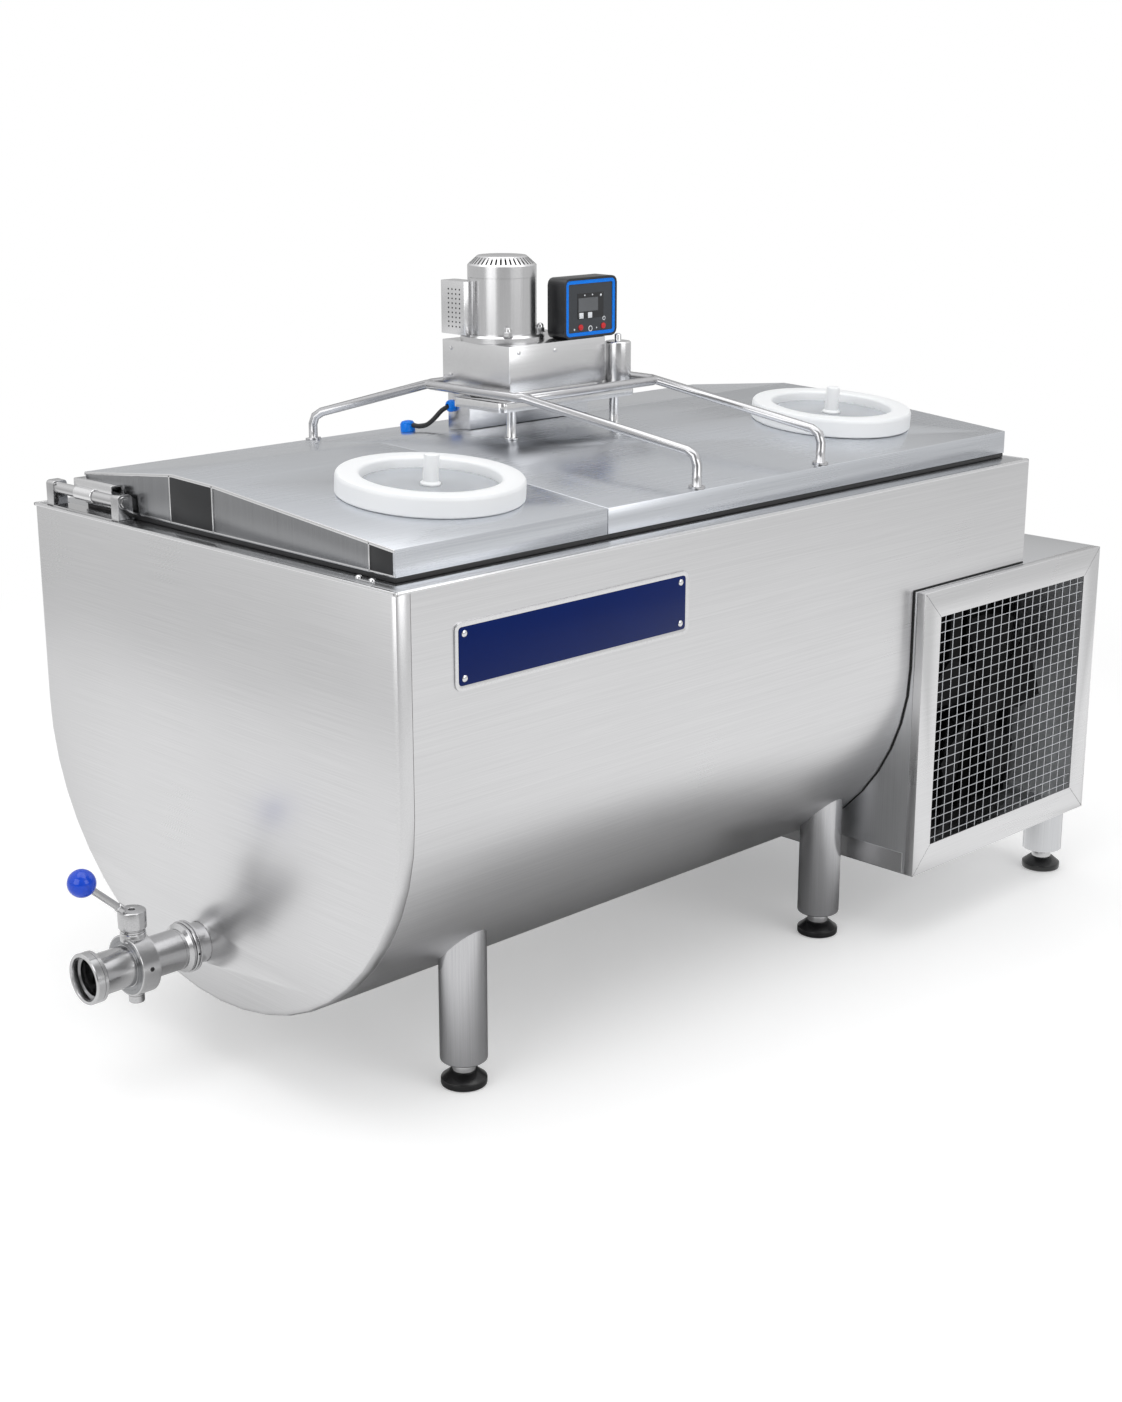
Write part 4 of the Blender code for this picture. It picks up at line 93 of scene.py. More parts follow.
def standing(x, y, z):
    """The place of a piece that stands upright at such a point."""
    return Matrix.Translation(at(x, y, z))


def only(piece):
    """Selects one object and makes it active."""
    bpy.ops.object.select_all(action="DESELECT")
    piece.select_set(True)
    bpy.context.view_layer.objects.active = piece


def edit(piece):
    """Enters edit mode with the whole of one piece selected."""
    only(piece)
    bpy.ops.object.mode_set(mode="EDIT")
    bpy.ops.mesh.select_all(action="SELECT")


def apply_place():
    """Puts the selected piece's place, turn and size into its mesh."""
    bpy.ops.object.transform_apply(location=True, rotation=True, scale=True)


def shade(piece, angle=SMOOTH_ANGLE):
    """Smooth shading, with edges above the angle kept crisp."""
    only(piece)
    bpy.ops.object.shade_smooth_by_angle(angle=angle)


def ease(piece, width, sharp, steps=2):
    """Rounds the edges that turn by more than an angle in degrees."""
    bevel = piece.modifiers.new("eased edges", "BEVEL")
    bevel.width = width
    bevel.segments = steps
    bevel.limit_method = "ANGLE"
    bevel.angle_limit = math.radians(sharp)
    bpy.ops.object.modifier_apply(modifier=bevel.name)


def settle(piece, name, look, body="tank", stands_for=None):
    """Names a finished piece, gives it its look and lets it ride on its body, in a construction node's stead
    where it stands for one."""
    only(piece)
    apply_place()
    piece.name = name
    piece.data.name = name
    piece.data.materials.clear()
    piece.data.materials.append(MATERIALS[look])
    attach(piece, body)
    if stands_for:
        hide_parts(stands_for)


def finish_node(name, look, edge=0.0):
    """A clean copy of a construction piece: merged, smooth on its curves and eased at its edges."""
    source = frame["nodes"][name]
    piece = bpy.data.objects.new(f"{name}_finish", source.data.copy())
    bpy.context.scene.collection.objects.link(piece)
    edit(piece)
    bpy.ops.mesh.remove_doubles(threshold=MERGE)
    bpy.ops.mesh.dissolve_limited(angle_limit=FLAT_ANGLE)
    bpy.ops.object.mode_set(mode="OBJECT")
    if edge:
        ease(piece, edge, 40)
    shade(piece, ROUND_ANGLE if name in ROUNDER else SMOOTH_ANGLE)
    settle(piece, f"{name}_finish", look, source["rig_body"], name)


def block(low, high, edge=0.0, steps=2):
    """A block between two corners with eased edges."""
    bpy.ops.mesh.primitive_cube_add(size=1, location=(Vector(low) + Vector(high)) / 2)
    piece = bpy.context.object
    piece.scale = Vector(high) - Vector(low)
    apply_place()
    if edge:
        edit(piece)
        bpy.ops.mesh.bevel(offset=edge, segments=steps, affect="EDGES")
        bpy.ops.object.mode_set(mode="OBJECT")
    return piece


def drawn(points):
    """A new piece with a chain of edges drawn through the points, left in edit mode."""
    bpy.ops.mesh.primitive_plane_add(size=0.01, location=(0, 0, 0))
    piece = bpy.context.object
    edit(piece)
    bpy.ops.mesh.merge(type="CENTER")
    here = Vector(points[0])
    bpy.ops.transform.translate(value=here)
    for point in points[1:]:
        there = Vector(point)
        bpy.ops.mesh.extrude_vertices_move(TRANSFORM_OT_translate={"value": there - here})
        here = there
    bpy.ops.mesh.select_all(action="SELECT")
    return piece


def turn(profile, sides=ROUND_SIDES, place=None):
    """Spins (radius, height) points about Z. A profile that ends off the axis runs back to its start."""
    points = [(radius, 0, height) for radius, height in profile]
    if profile[-1][0] > 0:
        points.append(points[0])
    piece = drawn(points)
    bpy.ops.mesh.remove_doubles(threshold=FINE_MERGE)
    bpy.ops.mesh.select_all(action="SELECT")
    bpy.ops.mesh.spin(steps=sides, angle=math.tau, center=(0, 0, 0), axis=(0, 0, 1))
    bpy.ops.mesh.select_all(action="SELECT")
    bpy.ops.mesh.remove_doubles(threshold=FINE_MERGE)
    bpy.ops.mesh.dissolve_degenerate(threshold=FINE_MERGE)
    bpy.ops.mesh.normals_make_consistent(inside=False)
    bpy.ops.object.mode_set(mode="OBJECT")
    if place is not None:
        piece.matrix_world = place
    apply_place()
    shade(piece)
    return piece


def cut_sheet(outline, depth, place, edge=0.0, steps=2):
    """A flat outline filled, raised to its thickness and eased."""
    piece = drawn([(*point, 0) for point in (*outline, outline[0])])
    bpy.ops.mesh.remove_doubles(threshold=MERGE)
    bpy.ops.mesh.edge_face_add()
    bpy.ops.mesh.extrude_region_move(TRANSFORM_OT_translate={"value": (0, 0, depth)})
    bpy.ops.mesh.select_all(action="SELECT")
    bpy.ops.mesh.normals_make_consistent(inside=False)
    bpy.ops.object.mode_set(mode="OBJECT")
    if edge:
        ease(piece, edge, 50, steps)
    piece.matrix_world = place
    apply_place()
    shade(piece)
    return piece


def joined(pieces):
    """Several loose shapes of one make as one piece."""
    bpy.ops.object.select_all(action="DESELECT")
    for piece in pieces:
        piece.select_set(True)
    bpy.context.view_layer.objects.active = pieces[0]
    if len(pieces) > 1:
        bpy.ops.object.join()
    return bpy.context.object


def copies(piece, places):
    """The same shape at each place, every copy with its own mesh, joined at the end."""
    made = []
    for place in places:
        twin = piece.copy()
        twin.data = piece.data.copy()
        bpy.context.scene.collection.objects.link(twin)
        twin.matrix_world = place
        made.append(twin)
    bpy.data.objects.remove(piece, do_unlink=True)
    return joined(made)


def carve(piece, cutter):
    """Takes the cutter's shape out of the piece."""
    only(piece)
    bite = piece.modifiers.new("openings", "BOOLEAN")
    bite.operation = "DIFFERENCE"
    bite.object = cutter
    bpy.ops.object.modifier_apply(modifier=bite.name)
    bpy.data.objects.remove(cutter, do_unlink=True)
    shade(piece)


def arc(centre, radius, first, last, steps):
    """Points round part of a circle, with angles in degrees."""
    points = []
    for step in range(steps + 1):
        angle = math.radians(first + (last - first) * step / steps)
        points.append((centre[0] + radius * math.cos(angle), centre[1] + radius * math.sin(angle)))
    return points


# Turns of a piece whose height runs out of the near side, or out of the front.
OUT_NEAR = Matrix.Rotation(math.radians(90), 4, "X")
OUT_FRONT = Matrix.Rotation(math.radians(-90), 4, "Y")


def along_x(x, y, z):
    """Turned pieces on the drain axis: their height runs out of the tank's front."""
    return standing(x, y, z) @ OUT_FRONT


def along_y(x, y, z):
    """Turned pieces on the hinge's axis: their height runs to the far side."""
    return standing(x, y, z) @ Matrix.Rotation(math.radians(-90), 4, "X")


def facing_front(x):
    """The plane of the tank's front: across, up, and back into the tank."""
    return Matrix(((0, 0, 1, FRONT + x), (1, 0, 0, 0), (0, 1, 0, 0), (0, 0, 0, 1)))


def facing_near(y):
    """The plane of the near side: along the tank, up, and out towards the near side."""
    return Matrix(((1, 0, 0, FRONT), (0, 0, -1, y), (0, 1, 0, 0), (0, 0, 0, 1)))


# Shader nodes


def linear(code):
    """A hex sRGB colour as linear light."""
    parts = []
    for start in (1, 3, 5):
        value = int(code[start : start + 2], 16) / 255
        parts.append(value / 12.92 if value <= 0.04045 else ((value + 0.055) / 1.055) ** 2.4)
    return (*parts, 1.0)


def feed(tree, made, inputs):
    """Gives a shader node its inputs. Each is a value, or an output socket to link from."""
    for name, value in inputs.items():
        if isinstance(value, bpy.types.NodeSocket):
            tree.links.new(value, made.inputs[name])
        else:
            made.inputs[name].default_value = value


def node(tree, kind, inputs=None, **settings):
    """Adds a shader node with its settings and inputs."""
    made = tree.nodes.new("ShaderNode" + kind)
    for name, value in settings.items():
        setattr(made, name, value)
    feed(tree, made, inputs or {})
    return made


def maths(tree, operation, *values):
    """One sum over numbers and sockets, as a socket."""
    return node(tree, "Math", dict(enumerate(values)), operation=operation).outputs[0]


def ramp(tree, source, low, high, dark, light, curve="LINEAR"):
    """A socket's range from low to high, mapped from dark to light."""
    inputs = {"Value": source, "From Min": low, "From Max": high, "To Min": dark, "To Max": light}
    return node(tree, "MapRange", inputs, interpolation_type=curve).outputs["Result"]


def noise(tree, where, scale, detail=2.0, roughness=0.5):
    """A noise pattern as a socket."""
    inputs = {"Vector": where, "Scale": scale, "Detail": detail, "Roughness": roughness}
    return node(tree, "TexNoise", inputs).outputs["Fac"]


def bump(tree, height, strength, distance):
    """Surface relief from a pattern, as a normal."""
    inputs = {"Height": height, "Strength": strength, "Distance": distance}
    return node(tree, "Bump", inputs).outputs["Normal"]


def mix_colours(tree, factor, dark, light):
    """Two hex colours mixed by a socket."""
    made = node(tree, "Mix", {"Factor": factor}, data_type="RGBA")
    for socket in made.inputs:
        if socket.type == "RGBA":
            socket.default_value = linear(dark) if socket.name == "A" else linear(light)
    return next(item for item in made.outputs if item.type == "RGBA")


def new_material(name):
    """An empty material: itself, its node tree, its shader and the piece's own coordinates."""
    made = bpy.data.materials.new(name)
    made.use_nodes = True
    tree = made.node_tree
    return made, tree, tree.nodes["Principled BSDF"], node(tree, "TexCoord").outputs["Object"]


# Materials


def brushed_stainless(name, stretch, light, dark, rough, grain=1.0):
    """Stainless sheet with a belt ground finish: fine parallel scratches along one direction.
    Real scratches are about 0.05 mm apart, drawn here near 1.5 mm so that they just show."""
    made, tree, shader, place = new_material(name)
    long_way = node(tree, "Mapping", {"Vector": place, "Scale": stretch}).outputs["Vector"]
    lines = noise(tree, long_way, 1.0, 3.0, 0.55)
    cloud = noise(tree, place, 2.4, 3.0)
    shift = ramp(tree, lines, 0.25, 0.75, 0.0, 1.0)
    wear = ramp(tree, cloud, 0.35, 0.65, rough - 0.03, rough + 0.03)
    feed(tree, shader, {
        "Base Color": mix_colours(tree, shift, dark, light),
        "Roughness": maths(tree, "MULTIPLY_ADD", lines, 0.05 * grain, wear),
        "Normal": bump(tree, lines, 0.035 * grain, 0.0003),
        "Metallic": 1.0,
    })
    return made


def speckled(name, base, shade_to, rough, size_mm, bump_mm, spread=0.08, sheen=0.5):
    """A moulded, cast or painted surface: a fine grain in colour, gloss and height.
    Less sheen keeps a deep colour from washing out under the wide lamps."""
    made, tree, shader, place = new_material(name)
    fine = noise(tree, place, 1000 / size_mm, 3.0)
    broad = noise(tree, place, 14.0)
    feed(tree, shader, {
        "Base Color": mix_colours(tree, broad, base, shade_to),
        "Roughness": ramp(tree, fine, 0.3, 0.7, rough - spread / 2, rough + spread / 2),
        "Normal": bump(tree, fine, 0.25, bump_mm / 1000),
        "Specular IOR Level": sheen,
    })
    return made


def clear_acrylic(name):
    """Cast acrylic disc, clouded by cleaning, so that it reads as pale grey."""
    made, tree, shader, place = new_material(name)
    feed(tree, shader, {
        "Base Color": linear("#dde1e6"),
        "Roughness": ramp(tree, noise(tree, place, 30.0, 4.0), 0.3, 0.7, 0.10, 0.2),
        "Transmission Weight": 0.55,
        "IOR": 1.49,
    })
    return made


MATERIALS = {}
# Scratches a metre along X, Y and Z, for each way a sheet was ground.
ALONG_X = (5, 650, 650)
ALONG_Y = (650, 5, 650)
ALONG_Z = (650, 650, 6)
# Polished and turned pieces have no one direction, so their grain is even.
POLISHED = (420, 420, 420)
TURNED = (500, 500, 500)


def build_materials():
    """Every look, by the short name that the pieces use."""
    look = bpy.context.scene.milk_cooler_finish
    light, dark = look.steel_light, look.steel_dark
    # Ground sheet: the scratches draw reflections out across the grain.
    MATERIALS.update(
        jacket=brushed_stainless("ground_stainless_lengthways", ALONG_X, light, dark, 0.28),
        head=brushed_stainless("ground_stainless_crossways", ALONG_Y, light, dark, 0.27),
        lid=brushed_stainless("ground_stainless_lid", ALONG_X, "#d2d5da", "#c8cbd0", 0.24),
        deck=brushed_stainless("ground_stainless_deck", ALONG_X, "#bcbdbf", "#b0b1b3", 0.24, 0.6),
        # The end panels' look is a darker copy of the lid's steel: painted shade.
        panel=brushed_stainless("ground_stainless_painted_shade", ALONG_Z, "#98999b", "#8c8d8f", 0.22, 0.6),
        drive=brushed_stainless("ground_stainless_fine", ALONG_X, "#dededf", "#d3d3d4", 0.25, 0.5),
        case=brushed_stainless("ground_stainless_case", ALONG_Z, "#d3d4d6", "#c8c9cb", 0.28),
        frame=brushed_stainless("ground_stainless_frame", ALONG_X, "#e0e0e1", "#d6d6d7", 0.25, 0.5),
        satin=brushed_stainless("satin_stainless", ALONG_Z, "#d4d4d5", "#c9c9ca", 0.22, 0.4),
        # The legs' steel is a darker copy of the polished steel: painted shade.
        leg=brushed_stainless("polished_stainless_leg_painted_shade", ALONG_Z, "#cbcbcd", "#bebec0", 0.17, 0.4),
    )
    # Polished and turned metal: tight highlights that follow the round shape.
    MATERIALS.update(
        bright=brushed_stainless("polished_stainless", POLISHED, "#e2e2e3", "#d6d6d7", 0.14, 0.25),
        # The rail's steel is a darker copy of the polished steel: painted shade.
        tube=brushed_stainless("polished_stainless_tube_painted_shade", POLISHED, "#c0c0c2", "#b2b2b4", 0.15, 0.25),
        wire=brushed_stainless("drawn_steel_wire", POLISHED, "#d4d6d9", "#c4c6ca", 0.24, 0.3),
        turned=brushed_stainless("turned_stainless", TURNED, "#c6c6c7", "#b8b8b9", 0.17, 0.3),
    )
    # Plastics, rubber and glass: soft highlights broken by the mould's grain.
    MATERIALS.update(
        ring=speckled("white_polyethylene_moulded", "#f0f1f2", "#e8eaec", 0.36, 0.8, 0.02),
        window=clear_acrylic("clear_acrylic_clouded"),
        puck=speckled("black_polyamide_moulded", "#131314", "#19191a", 0.24, 0.8, 0.02),
        rubber=speckled("black_nitrile_rubber", "#18181a", "#202022", 0.50, 0.6, 0.05),
        # The fan is black plastic, made darker than the other black parts: partly its own colour, partly painted
        # shade inside the unit.
        fan=speckled("black_polypropylene_fan_painted_shade", "#060607", "#090a0b", 0.6, 0.8, 0.03, sheen=0.12),
        black=speckled("black_abs_grained", "#17181a", "#1f2023", 0.40, 0.5, 0.04),
        fascia=speckled("grey_polyester_film", "#303338", "#363a3f", 0.38, 0.4, 0.01),
        blue=speckled("blue_abs_gloss", look.blue, "#0076e4", 0.26, 1.0, 0.01, sheen=0.25),
        ball=speckled("blue_phenolic_ball", "#0040c4", "#0046cc", 0.07, 1.2, 0.002, 0.02),
        red=speckled("red_abs_gloss", "#d2242a", "#c41f25", 0.3, 0.8, 0.01),
        white=speckled("white_abs", "#e9ebee", "#dfe2e6", 0.35, 0.8, 0.01),
        glass=speckled("smoked_display_glass", "#67696c", "#585a5d", 0.10, 1.5, 0.002),
    )
    # Enamel, castings, foam, the fins' painted shade and the dark of a gap: low sheen, so that they stay deep.
    MATERIALS.update(
        plate=speckled("blue_stove_enamel", look.plate_blue, "#011a56", 0.24, 0.8, 0.01, 0.06, 0.12),
        # The coil's aluminium fins are coloured near black: painted shade inside the unit.
        fins=speckled("aluminium_fins_painted_shade", "#08090a", "#050606", 0.75, 0.6, 0.03, sheen=0.15),
        enamel=speckled("black_enamel_casting", "#121315", "#1a1b1d", 0.5, 0.8, 0.05, sheen=0.2),
        foam=speckled("polyurethane_foam", "#d8c48a", "#cdb878", 0.9, 1.5, 0.2),
        slot=speckled("shadow_gap_black", "#08090a", "#0c0d0e", 0.8, 0.8, 0.02),
    )


NODE_LOOKS = {
    "jacket": ("outer_jacket",),
    "deck": ("rim_deck",),
    "head": ("front_head",),
    "lid": ("front_cover", "fixed_cover"),
    "bright": ("milk_vessel", "drive_tray", "agitator"),
    "turned": ("valve_disc",),
    "satin": ("canister", "motor_body"),
    "tube": ("guard_rail",),
    "drive": ("pedestal", "drive_box", "terminal_box"),
    "case": ("unit_case", "evaporator_plate"),
    "frame": ("grille_frame",),
    "rubber": ("lid_gasket", "probe_lead"),
    "black": ("control_box", "motor_fan"),
    "fan": ("fan_rotor",),
    "fascia": ("control_fascia",),
    "blue": ("control_bezel", "probe_gland"),
    "red": ("button_start", "button_stop"),
    "white": ("button_up", "button_down"),
    "fins": ("coil_block",),
    "enamel": ("compressor", "fan_motor"),
    "foam": ("foam_fill",),
}
# How far the sharp edges of each sheet or moulding are eased.
EASED = {
    "front_cover": 0.0014, "fixed_cover": 0.0014, "rim_deck": 0.0006, "front_head": 0.0012, "lid_gasket": 0.0015,
    "control_box": 0.002, "drive_box": 0.0012, "terminal_box": 0.0015, "pedestal": 0.0008, "drive_tray": 0.0014,
    "canister": 0.0012, "grille_frame": 0.0007, "unit_case": 0.0009, "button_up": 0.0005, "button_down": 0.0005,
    "button_start": 0.0005, "button_stop": 0.0005,
}
# Round pieces whose faces meet at wider angles than the rest.
ROUND_ANGLE = math.radians(50)
ROUNDER = ("guard_rail", "probe_lead", "agitator", "probe_gland", "canister")


class MilkCoolerFinish(bpy.types.PropertyGroup):
    """Sizes and colours that a user would change."""

    steel_light: StringProperty(name="Steel, light", description="Lighter tone of sheet", default="#dededf")
    steel_dark: StringProperty(name="Steel, dark", description="Darker tone of sheet", default="#d3d3d4")
    blue: StringProperty(name="Blue", description="Control bezel and glands", default="#0080f2")
    plate_blue: StringProperty(name="Plate blue", description="Field of the bare plate", default="#001c5c")
    mesh_columns: IntProperty(name="Mesh columns", description="Wires across the grille", default=19, min=4)
    mesh_rows: IntProperty(name="Mesh rows", description="Wires up the grille", default=24, min=4)
    wire: FloatProperty(
        name="Wire", description="Thickness of the grille wire", default=0.0017, unit="LENGTH", min=0.0005
    )
    border: FloatProperty(
        name="Frame border", description="Width of the grille's frame", default=0.050, unit="LENGTH", min=0.01
    )
    floor_tone: FloatProperty(name="Floor tone", description="Brightness of the floor", default=0.98, min=0)


CAMERA_PLACE = (-2.5632, -2.5959, 1.5115)
CAMERA_LENS = 54.62
CAMERA_DIP = 16.2257
CAMERA_TURN = -44.7108
# Name, place, point aimed at, width, height and power of each soft lamp.
LAMPS = (
    ("lamp_top", (-0.3, -0.3, 3.4), (0, 0, 0.4), 4.0, 3.0, 50),
    ("lamp_left", (-3.6, -0.6, 1.9), (-0.3, 0, 0.5), 2.4, 2.4, 30),
    ("lamp_near", (0.4, -4.2, 2.2), (0.2, 0, 0.5), 3.2, 2.2, 38),
    ("lamp_far", (1.2, 3.8, 2.2), (0.1, 0, 0.6), 3.0, 2.2, 24),
)
FLOOR_SIZE = 60
FLOOR_LIFT = 0.27
# Axis of the painted reflection gradient that metal finds in the world.
PAINTED_REFLECTION_AXIS = (0.7071, 0.7071, 0)
ROOM_FILL = 0.55


class COOLER_OT_stage(bpy.types.Operator):
    """Camera, soft lamps, pale floor and world"""

    bl_idname = "cooler.stage"
    bl_label = "Stage"

    def execute(self, context):
        scene = context.scene
        data = bpy.data.cameras.new("camera")
        data.lens = CAMERA_LENS
        data.sensor_width = 36
        data.sensor_fit = "AUTO"
        camera = bpy.data.objects.new("camera", data)
        camera.location = CAMERA_PLACE
        camera.rotation_euler = (math.radians(90 - CAMERA_DIP), 0, math.radians(CAMERA_TURN))
        scene.collection.objects.link(camera)
        scene.camera = camera
        scene.view_settings.view_transform = "Standard"
        for name, place, aim, wide, high, power in LAMPS:
            lamp = bpy.data.lights.new(name, "AREA")
            lamp.shape = "RECTANGLE"
            lamp.size = wide
            lamp.size_y = high
            lamp.energy = power
            item = bpy.data.objects.new(name, lamp)
            item.location = place
            item.rotation_euler = (Vector(aim) - Vector(place)).to_track_quat("-Z", "Y").to_euler()
            # The far lamp only fills: seen in the lid it would bleach the sheet.
            item.visible_glossy = name != "lamp_far"
            scene.collection.objects.link(item)
        make_floor(scene.milk_cooler_finish.floor_tone)
        make_world(scene)
        return {"FINISHED"}


def sees_background(tree):
    """One for rays that should find a white background: the camera's and those that metal and glass send."""
    path = node(tree, "LightPath")
    mirrored = maths(tree, "MAXIMUM", path.outputs["Is Glossy Ray"], path.outputs["Is Transmission Ray"])
    return path, maths(tree, "MAXIMUM", path.outputs["Is Camera Ray"], mirrored)


def make_floor(tone):
    """Pale floor that keeps the shadow near the object and turns plain white further out. Seen in metal, it is
    painted darker near the object and dimmer far out.
    """
    bpy.ops.mesh.primitive_plane_add(size=FLOOR_SIZE, location=(0, 0, -0.0005))
    floor = bpy.context.object
    floor.name = "floor"
    made, tree, shader, place = new_material("pale_studio_floor")
    path, seen = sees_background(tree)
    glossy = path.outputs["Is Glossy Ray"]
    # Painted reflection: to glossy rays alone the floor is darker under and near the object, and turns white sooner
    # beyond it, which paints the rounding of the belly.
    painted_mirror_shade = mix_colours(tree, glossy, "#f2f2f2", "#b2b2b2")
    feed(tree, shader, {
        "Base Color": node(tree, "VectorMath", {0: painted_mirror_shade, "Scale": tone}, operation="SCALE").outputs[0],
        "Roughness": ramp(tree, noise(tree, place, 3.0), 0, 1, 0.42, 0.48),
        "Specular IOR Level": 0.15,
        "Emission Color": (1, 1, 1, 1),
        "Emission Strength": maths(tree, "MULTIPLY", path.outputs["Is Camera Ray"], FLOOR_LIFT),
    })
    distance = node(tree, "VectorMath", {0: place}, operation="LENGTH").outputs["Value"]
    sooner = maths(tree, "MULTIPLY_ADD", glossy, 2.0, 1.0)
    away = maths(tree, "MULTIPLY", distance, sooner)
    far_off = maths(tree, "MULTIPLY", ramp(tree, away, 1.7, 3.2, 0.0, 1.0, "SMOOTHSTEP"), seen)
    # Painted reflection: to glossy rays alone the floor's white is dimmer far out, which grades the tall flat faces
    # towards their top.
    painted_far_dimming = maths(tree, "MULTIPLY", glossy, ramp(tree, distance, 2.6, 5.2, 0.0, 0.30, "SMOOTHSTEP"))
    bright = maths(tree, "SUBTRACT", 1.0, painted_far_dimming)
    white = node(tree, "Emission", {"Color": (1, 1, 1, 1), "Strength": bright})
    both = node(tree, "MixShader", {0: far_off, 1: shader.outputs[0], 2: white.outputs[0]})
    feed(tree, tree.nodes["Material Output"], {"Surface": both.outputs[0]})
    floor.data.materials.append(made)


def make_world(scene):
    """White to the camera and through glass. To glossy rays alone it is painted a little dimmer near the horizon
    and towards the ends than the sides: a painted reflection, which gives sheet metal its long gradients."""
    world = bpy.data.worlds.new("soft_studio")
    scene.world = world
    world.use_nodes = True
    tree = world.node_tree
    tree.nodes.clear()
    path, seen = sees_background(tree)
    direction = node(tree, "TexCoord").outputs["Generated"]
    height = ramp(tree, node(tree, "SeparateXYZ", {0: direction}).outputs["Z"], -0.05, 0.6, 0.62, 1.0)
    across = node(tree, "VectorMath", {0: direction, 1: (1, 1, 0)}, operation="MULTIPLY")
    level = node(tree, "VectorMath", {0: across.outputs[0]}, operation="NORMALIZE")
    along = node(tree, "VectorMath", {0: level.outputs[0], 1: PAINTED_REFLECTION_AXIS}, operation="DOT_PRODUCT")
    depth = along.outputs["Value"]
    # Painted reflection, seen by glossy rays only: dimmer towards the ends than the sides, and a little lighter
    # behind the object.
    sides = ramp(tree, maths(tree, "POWER", depth, 2.0), 0.1, 1.0, 1.12, 0.42)
    behind = ramp(tree, depth, 0.2, 0.9, 0.0, 0.32)
    painted_walls = maths(tree, "MULTIPLY", height, maths(tree, "ADD", sides, behind))
    plain = maths(tree, "MAXIMUM", path.outputs["Is Camera Ray"], path.outputs["Is Transmission Ray"])
    shown = maths(tree, "MULTIPLY", maths(tree, "MAXIMUM", painted_walls, plain), seen)
    total = maths(tree, "MULTIPLY_ADD", maths(tree, "SUBTRACT", 1.0, seen), ROOM_FILL, shown)
    back = node(tree, "Background", {"Color": (1, 1, 1, 1), "Strength": total})
    node(tree, "OutputWorld", {"Surface": back.outputs[0]})


class COOLER_OT_construction(bpy.types.Operator):
    """Finishes every construction piece that keeps its own shape"""

    bl_idname = "cooler.construction"
    bl_label = "Construction pieces"

    def execute(self, context):
        for look, names in NODE_LOOKS.items():
            for name in names:
                finish_node(name, look, EASED.get(name, 0.0))
        return {"FINISHED"}


# End of the lid, and place along and across it, of each hatch.
HATCHES = (("front", 0.279, -0.211), ("rear", 1.269, -0.189))
LID_NEAR = (-0.413, 0.898)
LID_SLOPE = math.atan2(0.083 - 0.048, 0.007 + 0.413)


def on_near_slope(x, y):
    """A frame on the lid's near slope."""
    z = LID_NEAR[1] + (y - LID_NEAR[0]) * math.tan(LID_SLOPE)
    return standing(x, y, z) @ Matrix.Rotation(LID_SLOPE, 4, "X")


class COOLER_OT_hatches(bpy.types.Operator):
    """White ring, clouded disc and knob of both hatches"""

    bl_idname = "cooler.hatches"
    bl_label = "Hatches"

    def execute(self, context):
        for end, x, y in HATCHES:
            place = on_near_slope(x, y)
            body = f"hatch_{end}"
            ring = turn(
                [
                    (0.0976, 0.0008), (0.1425, 0.0008), (0.1443, 0.003), (0.1443, 0.026), (0.1437, 0.0295),
                    (0.1415, 0.0322), (0.138, 0.033), (0.114, 0.033), (0.1105, 0.0325), (0.1082, 0.0305),
                    (0.1074, 0.028), (0.1074, 0.0132), (0.0976, 0.0132),
                ],
                LARGE_SIDES, place,
            )
            settle(ring, f"hatch_ring_{end}_moulding", "ring", body, f"hatch_ring_{end}")
            disc = turn(
                [
                    (0, 0.0134), (0.1062, 0.0134), (0.1064, 0.0138), (0.1064, 0.016), (0.106, 0.0163),
                    (0, 0.0163),
                ],
                LARGE_SIDES, place,
            )
            settle(disc, f"hatch_window_{end}_disc", "window", body, f"hatch_window_{end}")
            knob = turn(
                [
                    (0, 0.0166), (0.0158, 0.0166), (0.016, 0.0172), (0.0158, 0.0192), (0.0135, 0.0206),
                    (0.0119, 0.0222), (0.0119, 0.0605), (0.0113, 0.0625), (0.0098, 0.0633), (0, 0.0635),
                ],
                40, place,
            )
            settle(knob, f"hatch_knob_{end}_turning", "ring", body, f"hatch_knob_{end}")
        return {"FINISHED"}


OUTLET = Vector((0, 0.045, 0.197))
CLAMP_X = -0.0303
CLAMP_RADIUS = 0.0417
VALVE_X = -0.1225
VALVE_RADIUS = 0.0489
LEVER_ROOT = 0.078
BALL_OUT = 0.0845
BALL_UP = 0.155
BALL_RADIUS = 0.0221
# The ball's flat seat, its bore for the rod, and how far the rod runs into it.
BALL_SEAT = 0.0075
BALL_BORE = 0.0062
ROD_IN_BALL = 0.0115


def hexagon_head(radius, height, place):
    """A hexagon head with its corners turned off."""
    head = turn([(0, 0), (radius, 0), (radius, height * 0.75), (radius * 0.86, height), (0, height)], 6, place)
    shade(head, HEXAGON_ANGLE)
    return head


